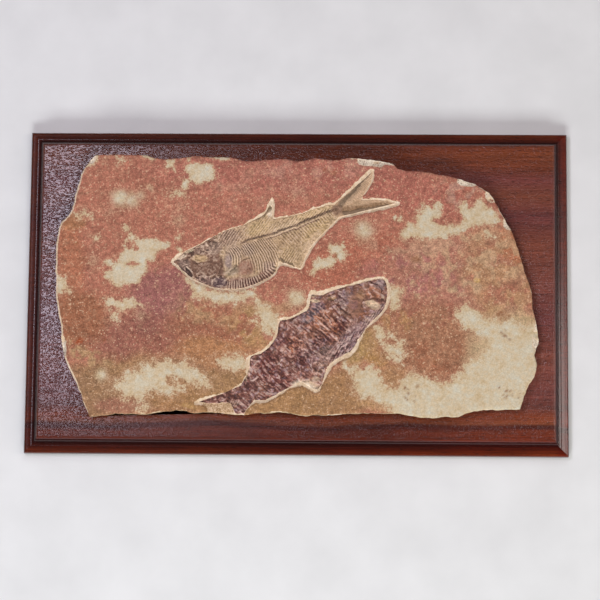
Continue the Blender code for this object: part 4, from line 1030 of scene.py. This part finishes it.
# Backbone: two dark strands with a light one between, from a brown line above the ribs to the tail
lower_strand = [(-28, 46.5), (-18, 50.3), (-8, 54), (2, 58), (11, 62), (20, 66)]
beads = ridges(along * 3 + 0.5)
strand = stroke(wx, wy, SPINE, 2.2, 2.9)
light_strand = stroke(wx, wy, [(px + 0.8, py - 2.3) for px, py in SPINE[3:-1]], 1.6)
tone += 0.45 * light_strand - 0.55 * stroke(wx, wy, lower_strand, 1.3)
tone -= 1.05 * strand * (0.6 + 0.4 * beads) * ease(gx, -62, -44) * (1 - 0.6 * ease(gx, 30, 34))
lay(colours, "#8E6E5C", 0.7 * np.maximum(strand, stroke(wx, wy, lower_strand, 1.6)))
fin_line = [(-15, 28.5), (-11, 26), (-6, 23.5), (0, 20.5)]
tone -= 1.1 * stroke(wx, wy, fin_line, 3.6, 1.6)

# Tail: dark cores along both lobes and where they join, fraying out to cream
lay(colours, "#C8A481", tail)
lay(colours, "#BA9A7A", stroke(wx, wy, [(41, 77), (50, 88), (58, 98), (67, 108)], 8.5, 5) * 0.9)
lay(colours, "#92704F", stroke(wx, wy, [(40, 75), (54, 77), (72, 80), (88, 81)], 7.5, 3) * 0.9)
lay(colours, "#937259", spot(wx, wy, (37, 75), (5, 5), 20, 0.3))
lay(colours, "#BE9C78", spot(wx, wy, (55, 81.5), (10, 2.6), 8, 0.4))
upper_core = [(40.5, 80.5), (42, 82), (47, 87), (52, 92.5), (58, 99), (67, 109)]
tone -= 1.05 * stroke(wx, wy, upper_core, 6.0, 2.6)
tone -= 0.3 * stroke(wx, wy, [(48, 86), (55, 93), (64, 101)], 5, 4)
tone -= 1.15 * stroke(wx, wy, [(44, 71.6), (50, 72.2), (58, 74), (74, 77), (86, 79)], 5.4, 3.0)
tone -= 0.3 * stroke(wx, wy, [(56, 77), (66, 78.5), (78, 80.5)], 4, 3)

lay(colours, "#856350", head)
lay_spots(colours, wx, wy, SKULL_SPOTS, 0.3)
tone += drawn(wx, wy, UPPER_FISH_LINES)

# The backs of the fins and a narrow seam round the whole fish are cream rock
fin = spot(wx, wy, (-24, 74), (3.2, 14), -8, 0.35)
lay(colours, "#F0D8BA", fin * ease(gy, 66, 70) * (1 - stroke(wx, wy, [(-30, 70.6), (-25.4, 76.6)], 3.6)))
frayed = inside + 0.4 * clouds(gx, gy, 2.5, 331, 3) * (1 - 0.7 * tail) - 0.1 * tail
frayed -= 0.5 * ease(gx, -20, -8) * ease(-across, 0.6, 0.9)
seam = 1 - ease(frayed, 0.05, 0.45)
shade(colours, 0.9 * tone * (1 - seam), "#E0C4AA")
lay(colours, "#E4CCB0", seam)

height = 0.40 + 0.42 * tone + 0.12 * head + 0.10 * spot(gx, gy, (-86, 19), (16, 10), 12, 0.12)
height += 0.75 * strand * (0.7 + 0.3 * beads) - 0.25 * spot(gx, gy, (-90, 28), (7, 3.4), 8) - 0.12 * tail


def fossil_bone(name, cream_grit, fleck, flaky, stretch):
    """Fossil bone, matt with a faint sheen: the painted colours, broken into flakes of about 2 mm that each
    keep their own tone, with grit of 1 mm. Real grit is finer and wouldn't show. Flakes may be stretched."""
    finish, tree, shader, place = new_finish(name)
    painted = add(tree, "Attribute", {"attribute_name": "bone"}, {}).outputs["Color"]
    grit = add(tree, "TexNoise", {}, {"Vector": place, "Scale": 1.0, "Detail": 3.0, "Roughness": 0.75})
    lie = {"Vector": place, "Rotation": (0, 0, math.radians(40)), "Scale": stretch}
    turned = add(tree, "Mapping", {}, lie)
    flakes = add(tree, "TexVoronoi", {}, {"Vector": turned.outputs[0], "Scale": 0.55})
    each = add(tree, "SeparateColor", {}, {0: flakes.outputs["Color"]})
    flake = add(tree, "MapRange", {}, {"Value": each.outputs[0], 1: 0.0, 2: 1.0, 3: 1 - flaky, 4: 1 + flaky})
    grain = add(tree, "MapRange", {}, {"Value": grit.outputs[0], 1: 0.3, 2: 0.7, 3: 0.78, 4: 1.22})
    tone = add(tree, "Math", {"operation": "MULTIPLY"}, {0: flake.outputs[0], 1: grain.outputs[0]})
    toned = add(tree, "Mix", TINTED, {0: 1.0, 6: painted, 7: tone.outputs[0]})
    flecks = add(tree, "TexNoise", {}, {"Vector": place, "Scale": 0.5, "Detail": 4.0, "Roughness": 0.7})
    cover = add(tree, "MapRange", {}, {"Value": flecks.outputs[0], 1: 0.60, 2: 0.66, 4: cream_grit})
    colour = add(tree, "Mix", BLENDED, {0: cover.outputs[0], 6: toned.outputs[2], 7: linear(fleck)})
    relief = add(tree, "Bump", {}, {"Height": tone.outputs[0], "Strength": 0.5, "Distance": 0.0003})
    tree.links.new(colour.outputs[2], shader.inputs["Base Color"])
    tree.links.new(relief.outputs[0], shader.inputs["Normal"])
    shader.inputs["Roughness"].default_value = 0.68
    shader.inputs["Specular IOR Level"].default_value = 0.35
    return finish


def fish_piece(name, grid, height, colours, finish, slot, node):
    """A fish from its grid, its relief and its colours. The wall under its edge takes the edge's colour."""
    points, faces, base = fish_solid(grid, height)
    made = piece(name, points, facing_up(faces, base, grid), finish, slot, node)
    painted = colours.reshape(-1, 3)
    paint(made.data, "bone", np.concatenate([painted, painted[rim_of(grid)]]))
    made.data.shade_smooth()
    return made


brown_bone = fossil_bone(
    "brown fossil bone, scraped clean", cream_grit=0.4, fleck="#CDB49A", flaky=0.12, stretch=(1, 1, 1)
)
surface = bone_surface(inside, height)
fish_piece("herring_fossil", grid, surface, colours, brown_bone, "upper_fish_bone", "upper_fish")

# ---- Lower fish ----------------------------------------------------------------------------------
# A perch-like fossil, its head at the right: thick scales and crushed bones in dark red-brown, lumpy and
# broken, with rust flecks. The tail runs out towards the broken edge of the plate.

LOWER_FISH_STATIONS = [
    ((85, -6), (84.5, 3), (81, 10.5)),
    ((83, -15), (77, -1), (74, 10)),
    ((77, -24), (66, -7), (64, 7.5)),
    ((69, -31.5), (55, -13), (53, 4.5)),
    ((62, -41), (44, -20), (42, 2)),
    ((57, -49), (34, -27), (32, -1.5)),
    ((52, -57), (25, -34), (22, -5)),
    ((42, -63), (17, -40), (14, -4)),
    ((33, -69), (9, -46), (11, -18)),
    ((28, -77), (1, -53), (1, -24)),
    ((25, -88), (-7, -59), (-8, -28)),
    ((18.5, -94.5), (-14, -66), (-16, -29.5)),
    ((5, -87), (-21, -72), (-17.5, -42)),
    ((-4, -91), (-27, -77), (-25, -54)),
    ((-13, -96.5), (-34, -83), (-33, -60)),
    ((-22, -101), (-40, -88), (-42, -63.5)),
    ((-29, -104), (-45, -92), (-44, -76)),
    ((-38, -104), (-47, -96), (-51, -90)),
]
LOWER_TAIL_EDGE = [
    (-47, -116.5), (-55, -116.5), (-58, -111), (-60, -107), (-66, -106.5), (-78, -107), (-91, -106),
]


def cells(x, y, size, seed):
    """Distance to the nearest of one scattered point per lattice square, in squares, and that point's own
    random number."""
    rng = np.random.default_rng(seed)
    shift = rng.uniform(0.1, 0.9, (2, 128, 128))
    number = rng.uniform(0, 1, (128, 128))
    u, v = x / size, y / size
    i, j = np.floor(u).astype(int), np.floor(v).astype(int)
    nearest, owner = np.full(x.shape, 9.0), np.zeros(x.shape)
    for di in (-1, 0, 1):
        for dj in (-1, 0, 1):
            a, b = (i + di) % 128, (j + dj) % 128
            away = np.hypot(i + di + shift[0, a, b] - u, j + dj + shift[1, a, b] - v)
            owner = np.where(away < nearest, number[a, b], owner)
            nearest = np.minimum(nearest, away)
    return nearest, owner


# Ground colours: dark red-brown, with rust, lilac and grey where bones and scales differ, and cream rock
LOWER_FISH_SPOTS = [
    ((30, -20), (9, 6), -30, "#8E5C48", 0.9), ((13, -37), (9, 6), 30, "#AB735C", 0.8),
    ((-5, -52), (8, 7), 30, "#99644F", 0.8), ((11, -26), (8, 5), 30, "#958282", 0.9),
    ((20, -17), (7, 5), 0, "#A08C90", 0.8), ((-9, -35), (8, 6), 30, "#976E5B", 0.9),
    ((-15, -48), (6, 6), 0, "#89625F", 0.8), ((22, -49), (12, 6), 30, "#764E48", 0.9),
    ((12, -62), (12, 7), 0, "#84605A", 0.9), ((40, -33), (7, 8), -30, "#6E4038", 0.9),
    ((46, -21), (5, 6), 0, "#8A6654", 0.9), ((44, -8), (6, 7), 0, "#80645F", 0.9),
    ((56, -13), (7, 12), -10, "#8C634E", 0.9), ((54, -15), (3.5, 4), 0, "#8D6259", 0.8),
    ((60, -4), (4, 5), 0, "#976E4F", 0.9), ((63, -25), (5, 3.5), 0, "#9F684B", 0.8),
    ((55, -37), (7, 6), 30, "#9C7469", 0.9), ((47, -48), (8, 8), 40, "#9C7469", 0.9),
    ((72, -3), (7, 6), 0, "#946248", 0.9), ((78, 5), (5, 5), 0, "#8C7672", 0.9),
    ((71, -27), (7, 5), 30, "#A98467", 0.8), ((-27, -74), (9, 13), -10, "#824C41", 0.9),
    ((-38, -73), (4, 7), -20, "#A97A67", 0.9), ((-12, -70), (6, 7), 0, "#8C624E", 0.8),
    ((-12, -85), (12, 8), 20, "#885548", 0.8), ((8, -71), (9, 8), 0, "#744840", 0.9),
    ((8, -80), (8, 4), -10, "#AC7664", 0.9), ((25, -76), (6, 9), -20, "#AC8571", 0.9),
    ((28, -60), (8, 7), 30, "#A98678", 0.9), ((-34, -93), (7, 6), 30, "#997059", 0.8),
    ((-42, -90), (6, 7), -40, "#A07064", 0.8), ((-48, -108), (6, 8), -40, "#7E5C50", 0.9),
    ((-72, -103.5), (16, 3), 10, "#7E5647", 0.9), ((71, -14.4), (7.8, 4.4), -22, "#875C47", 0.9),
    ((33, -8.5), (4, 2), 0, "#B59067", 0.8),
]
# Edges and cracks of the bones, from the head to the tail: points, width and change of tone
LOWER_FISH_LINES = [
    ([(67, 7.4), (74, 5.6), (78, 1.6), (80, -3)], 1.5, -1.0), ([(69, 8.6), (75, 10)], 1.4, -0.6),
    ([(81, 9), (82.6, 4.6)], 2.2, -0.9), ([(69, 4.6), (71.4, 3.8)], 2.0, 1.2),
    ([(76, 7), (78.4, 5.4)], 2.0, 0.6), ([(80, -4), (80.8, -7)], 1.8, 1.3),
    ([(72, -0.6), (74.6, -3.4)], 1.8, 0.8), ([(67.4, -2), (69, -4)], 1.8, 0.9),
    ([(64, 1), (62, 4)], 2, 0.8), ([(65, -9.6), (73, -8.6), (80, -9.6)], 1.2, -0.8),
    ([(62, -9.4), (60.4, -13), (62, -18)], 1.2, -0.6), ([(62, -12), (63.4, -13)], 2.4, 1.1),
    ([(63, -16.2), (64, -17)], 2.2, 0.9), ([(81, -11), (84, -9.6)], 1.5, -0.9),
    ([(78, -19), (81, -15)], 1.6, -0.4), ([(65, -25.6), (68.4, -28)], 1.6, 1.0),
    ([(60, -29), (66, -31)], 1.5, -0.6), ([(57, -27), (55.6, -31)], 1.4, 0.5),
    ([(41, -16), (46, -20.4), (50, -24)], 1.6, -0.7), ([(43, -14), (46, -17.4)], 3.2, 0.3),
    ([(50, 6.6), (54, 8), (57, 6), (60, 4)], 1.3, -1.3), ([(51, 1.4), (53, -3)], 2, -0.5),
    ([(42.6, -2.4), (46, -5.4)], 3, 0.4), ([(23, -17), (25.6, -20)], 1.8, 1.0),
    ([(28.4, -17.6), (31, -21)], 1.8, 1.0), ([(32, -17), (33.4, -18.6)], 1.8, 1.1),
    ([(35, -17.6), (37, -20.6)], 1.8, 1.0), ([(36.6, -23.4), (38, -25.4)], 1.6, 0.8),
    ([(24, -20), (28.4, -26.4), (32.8, -32)], 1.5, 0.9), ([(20, -31), (24.6, -34), (29, -37)], 1.5, 0.8),
    ([(26.6, -22), (30.6, -28.6)], 1.1, -0.9), ([(8.6, -31), (14, -34.4), (20.6, -38.6)], 1.4, -0.9),
    ([(9.6, -38), (13, -40.4)], 2.0, 0.9), ([(7.4, -42), (9, -44)], 1.6, 0.8),
    ([(27, -43), (31.4, -46.6)], 4.4, -0.5), ([(34, -43.6), (37.6, -46.6)], 2.6, 0.7),
    ([(38.6, -55.6), (44, -46)], 1.3, 0.8), ([(41.8, -56), (47.4, -46.4)], 1.2, -0.7),
    ([(44.6, -53), (50, -44)], 1.3, 0.8), ([(17.6, -57.6), (18.8, -58.4)], 2.4, 1.4),
    ([(23.6, -56), (26, -58)], 3.2, -1.0), ([(-7.4, -35), (-6.4, -37.6)], 1.8, 1.2),
    ([(-11.4, -42.4), (-10.4, -43.6)], 1.8, 1.1), ([(-19, -46), (-16, -51)], 3.2, -0.6),
    ([(-8.4, -45), (-6.6, -48)], 2.6, -0.6), ([(-16, -28), (-8, -29.4), (-1, -27.6)], 1.8, -1.1),
    ([(2, -24.6), (10, -20.6)], 1.8, -0.7), ([(11, -15.6), (20, -13.4)], 1.8, -0.7),
    ([(22, -8), (30, -5.6), (38, -2.4)], 1.8, -0.6), ([(-8, -55), (-4.4, -59)], 1.8, 1.0),
    ([(-12, -50.4), (-9.4, -53)], 1.8, 0.9), ([(-42.4, -64), (-38, -60.6), (-32.6, -60)], 1.8, -1.4),
    ([(-40.4, -65), (-35.6, -65.6)], 1.6, -1.3), ([(-37.4, -70.6), (-33.4, -66.4)], 1.6, 1.1),
    ([(-42, -73), (-40.6, -77)], 2.2, 0.8), ([(-38, -76.6), (-36.4, -79)], 1.8, 0.8),
    ([(-16, -70.4), (-13.4, -67.8), (-12.6, -66)], 1.6, 1.5), ([(-14.2, -84.6), (-16, -79)], 1.6, 1.2),
    ([(2.4, -69.6), (4.6, -74.6)], 1.8, 0.9), ([(10, -66), (14, -71)], 1.6, 0.9),
    ([(16, -66), (13.4, -72)], 1.4, 0.7), ([(23, -73), (19.6, -79)], 1.8, 0.9),
    ([(26.6, -75), (24.4, -81)], 1.6, 0.6), ([(9.6, -81), (10.6, -83)], 3.0, -0.6),
    ([(-36, -82.4), (-38.6, -84.6)], 1.8, 1.1), ([(-30.4, -85.6), (-26, -88.6)], 2.0, 0.9),
    ([(-41, -94.6), (-39, -95.6)], 2.2, 1.1), ([(-34, -92), (-31.6, -94.6)], 2.0, 1.0),
    ([(-22, -88.4), (-18, -94.6)], 3.4, -0.6), ([(-27, -96), (-25.6, -98.4)], 1.6, 1.0),
    ([(-89, -105.6), (-76, -102.4), (-60, -99)], 1.5, -0.6), ([(-62, -101.4), (-52, -100.4)], 3.0, -0.5),
    ([(-80, -106.6), (-66, -104)], 1.2, 0.4), ([(-46, -100), (-54, -112)], 1.4, 0.4),
]
# Cream spots: the eye, bits beside it and the broken fins
CREAM_SPOTS = [
    ((71.5, -14.2), (7.4, 3.6), -20, 0.8), ((59, 9), (7, 2), 10, 0.9), ((17, -10.4), (4.6, 1.5), -8, 0.9),
    ((15.6, -4.6), (3.8, 2.6), 0, 0.5), ((11, -91), (11, 5.6), -12, 0.7), ((18, -84), (4, 3), 0, 0.5),
    ((-71, -111), (11, 2.8), -4, 0.45), ((-57, -106.4), (5, 3), 0, 0.2), ((-32, -107), (2.4, 3), 0, 0.8),
    ((-26, -108), (3, 1.6), 0, 0.7), ((-44, -78), (1.6, 8), -10, 0.6), ((80, -7), (1.5, 2.4), 0, 0.5),
]

fineness = {"per_station": 24, "rows": 167, "tail_columns": 84}
grid, along, across = fish_grid(LOWER_FISH_STATIONS, LOWER_TAIL_EDGE, **fineness)
gx, gy = grid[..., 0].copy(), grid[..., 1].copy()
inside = depth_inside(gx, gy, grid.reshape(-1, 2)[rim_of(grid)][::2])
wx, wy = gx + 1.0 * clouds(gx, gy, 4, 411, 3), gy + 1.0 * clouds(gx, gy, 4, 421, 3)

colours = np.tile(rgb("#926654"), (*gx.shape, 1))
lay_spots(colours, wx, wy, LOWER_FISH_SPOTS, 0.4)

# Bones and scales lie as flakes, along the body above and across it below, each lighter or darker
running = gx * 0.77 - gy * 0.64, gx * 0.64 + gy * 0.77
crossing = gx * 0.5 + gy * 0.87, gx * 0.87 - gy * 0.5
belly_side = ease(gx * 0.64 - gy * 0.77, 58, 66) * ease(gx, 26, 36)
smooth_bone = spot(gx, gy, (56, -14), (7, 13), -10, 0.3)
smooth_bone = np.maximum(smooth_bone, 0.6 * spot(gx, gy, (55, -35), (6, 5), 0, 0.4))
skull = 1 - ease(along, 3.4, 4.0)
flakes = clouds(running[0] / 3.2, running[1], 1.4, 431, 2) * (1 - belly_side)
flakes += clouds(crossing[0] / 3.2, crossing[1], 1.3, 441, 2) * belly_side
flakes *= 1 - 0.6 * skull
# Rust has gathered in the raised flakes of the middle, and purple stain between them and along the rear
rusty = spot(gx, gy, (25, -31), (20, 11), -38, 0.5)
rusty = np.maximum(rusty, 0.7 * spot(gx, gy, (-2, -53), (13, 9), 35, 0.5))
rusty = np.maximum(rusty, 0.8 * spot(gx, gy, (71, -4), (9, 7), 0, 0.5))
lay(colours, "#7E4A44", 0.4 * ease(-gx, -14, 6))
lay(colours, "#8C787A", 0.45 * belly_side * ease(gx, 30, 40))
lay(colours, "#A48C92", 0.5 * ease(clouds(wx, wy, 2.6, 561, 2), 0.3, 0.8) * (1 - rusty) * (1 - smooth_bone))
lay(colours, "#783C36", 0.4 * ease(-flakes, 0.05, 0.6) * (1 - smooth_bone))
lay(colours, "#B86E44", 0.8 * ease(flakes, 0.0, 0.5) * rusty)
plate_gap, plate_tone = cells(wx, wy, 2.2, 451)
cracks = 1 - ease(np.abs(clouds(wx, wy, 3.4, 461, 2)), 0.02, 0.2)
tone = -0.08 + 0.85 * flakes + 0.3 * clouds(gx, gy, 1.2, 471, 2) + 0.25 * clouds(gx, gy, 8, 481, 2)
tone += (0.9 * (plate_tone - 0.5) - 0.4 * ease(plate_gap, 0.4, 0.7) - 0.5 * cracks) * (1 - 0.6 * skull)
tone *= 1 - 0.72 * smooth_bone
tone += 0.9 * ease(clouds(wx, wy, 2.2, 491, 2), 0.75, 1.0) * (1 - smooth_bone)
# Painted shadow: a dark line just inside the fish's upper edge, along it short of the head
edge_shadow = ease(inside, 0.5, 1.0) * (1 - ease(inside, 1.5, 2.6)) * ease(clouds(gx, gy, 9, 551, 2), -0.3, 0.5)
tone -= 0.7 * edge_shadow * ease(across, 0, 0.3) * (1 - ease(gx, 40, 50))
streaks = spot(gx, gy, (22, -36), (17, 9), -38, 0.4)
tone += 0.5 * comb(running[1] / 3.0 + 0.5 * clouds(gx, gy, 7, 521, 2)) * streaks
tone += 0.5 * comb(crossing[1] / 2.3 + 0.4 * clouds(gx, gy, 7, 531, 2)) * belly_side * (1 - smooth_bone)

tone += drawn(wx, wy, LOWER_FISH_LINES)
tone -= 0.2 * spot(wx, wy, (14, -68), (7, 6), 0, 0.5)  # a dark patch behind the middle
hatch = spot(gx, gy, (-57, -106), (6, 3.4), 0, 0.3)
tone += 0.5 * comb((gx - 0.5 * gy) / 2.2) * hatch

# Cream rock shows at the eye, in the broken fins and in a narrow seam round the whole fish
cream = np.zeros(gx.shape)
for centre, half, turn, strength in CREAM_SPOTS:
    cream = np.maximum(cream, strength * spot(wx, wy, centre, half, turn, 0.35))
frayed = inside + 0.7 * clouds(gx, gy, 2.5, 541, 3)
seam = 1 - ease(frayed, 0.05, 0.5)
lay(colours, "#DABE9B", cream)
shade(colours, 0.9 * tone * (1 - seam) * (1 - 0.75 * cream), "#CEB1A3")
fin = spot(wx, wy, (7, -90.5), (10, 3.2), -14, 0.4)
fin *= 1 - stroke(wx, wy, [(0, -88), (6, -88.5), (9, -92)], 1.4)
lay(colours, "#F2E0C6", 0.8 * fin)
lay(colours, "#E4CCB0", seam)
notch = spot(gx, gy, (-67, -109), (14, 6), 0, 0.3)
lay(colours, "#B4946F", 0.7 * seam * notch)

height = 0.42 + 0.24 * np.clip(tone, -1.4, 1.4) * (1 - 0.7 * cream) + 0.14 * clouds(gx, gy, 7, 501, 3)
height += 0.22 * skull + 0.14 * spot(gx, gy, (57, -11), (8, 12), -20, 0.15)
height -= 0.25 * spot(gx, gy, (71, -14), (6, 3), -22) + 0.25 * ease(along, 17, 17.3)
dark_bone = fossil_bone(
    "dark red fossil bone and scale, scraped clean",
    cream_grit=0.5, fleck="#BC7C54", flaky=0.35, stretch=(0.5, 1.1, 1),
)
surface = bone_surface(inside, height)
fish_piece("perch_fossil", grid, surface, colours, dark_bone, "lower_fish_bone", "lower_fish")

# ---- Floor, lights and camera --------------------------------------------------------------------
# A pale floor under soft studio light. The lacquer mirrors a cool panel high on the left, a warm one on
# the right and a narrow strip low on the right, which lights nothing else. Two fills, which it doesn't
# mirror, light the matt stone.


def pale_paper():
    """Matt paper: pale, with the faint unevenness of its fibres."""
    finish, tree, shader, place = new_finish("pale matt paper")
    fibres = add(tree, "TexNoise", {}, {"Vector": place, "Scale": 0.02, "Detail": 3.0})
    tone = add(tree, "ValToRGB", {"stops": [(0.3, "#DAD9D6"), (0.7, "#E2E1DE")]}, {"Fac": fibres.outputs[0]})
    tree.links.new(tone.outputs[0], shader.inputs["Base Color"])
    shader.inputs["Roughness"].default_value = 0.9
    return finish


FLOOR_HALF = 3.0  # metres
mesh = bpy.data.meshes.new("floor")
corners = [(FLOOR_HALF * u, FLOOR_HALF * v, 0) for u, v in ((-1, -1), (1, -1), (1, 1), (-1, 1))]
mesh.from_pydata(corners, [], [(0, 1, 2, 3)])
mesh.materials.append(pale_paper())
floor = bpy.data.objects.new("floor", mesh)
bpy.context.scene.collection.objects.link(floor)


def panel(name, place, aim, size, watts, colour, mirrored=True, lit=True):
    """A soft rectangular light at a place, turned towards a point. Gloss shows it only if it is mirrored, and
    matt surfaces only if it is lit."""
    light = bpy.data.lights.new(name, "AREA")
    light.shape = "RECTANGLE"
    light.size, light.size_y = size
    light.energy = watts
    light.color = linear(colour)[:3]
    made = bpy.data.objects.new(name, light)
    made.location = place
    made.rotation_euler = (Vector(aim) - Vector(place)).to_track_quat("-Z", "Y").to_euler()
    made.visible_glossy = mirrored
    made.visible_diffuse = lit
    bpy.context.scene.collection.objects.link(made)


panel("left_panel", (-0.58, 0.3, 1.5), (-0.58, 0.3, 0), (0.4, 0.8), 12.5, "#E2DCEE")
panel("right_panel", (1.35, 0.0, 1.35), (0.1, 0, 0), (0.4, 1.0), 8, "#FFF2EC")
panel("low_strip", (1.7, -0.25, 0.42), (0.25, -0.05, 0), (1.0, 0.05), 3, "#FFE2DC", lit=False)
panel("back_fill", (0.5, 1.6, 1.9), (0, 0, 0), (1.2, 0.6), 8, "#FFFFFF", mirrored=False)
panel("front_fill", (-0.1, -1.8, 1.25), (0, 0, 0), (1.4, 0.5), 41.5, "#F6FCFF", mirrored=False)

world = bpy.data.worlds.new("studio")
world.use_nodes = True
world.node_tree.nodes["Background"].inputs["Color"].default_value = linear("#F2F3F6")
world.node_tree.nodes["Background"].inputs["Strength"].default_value = 0.09
bpy.context.scene.world = world
bpy.context.scene.view_settings.view_transform = "Standard"

# The viewpoint is 2 m above the plaque and a little in front of it, through a long lens
camera = bpy.data.cameras.new("camera")
camera.sensor_width = 36
camera.lens = 128.33
viewer = bpy.data.objects.new("camera", camera)
viewer.location = (0.05541, -0.27305, 2.0)
viewer.rotation_euler = [math.radians(turn) for turn in (7.6224, 1.4377, 0.5316)]
bpy.context.scene.collection.objects.link(viewer)
bpy.context.scene.camera = viewer
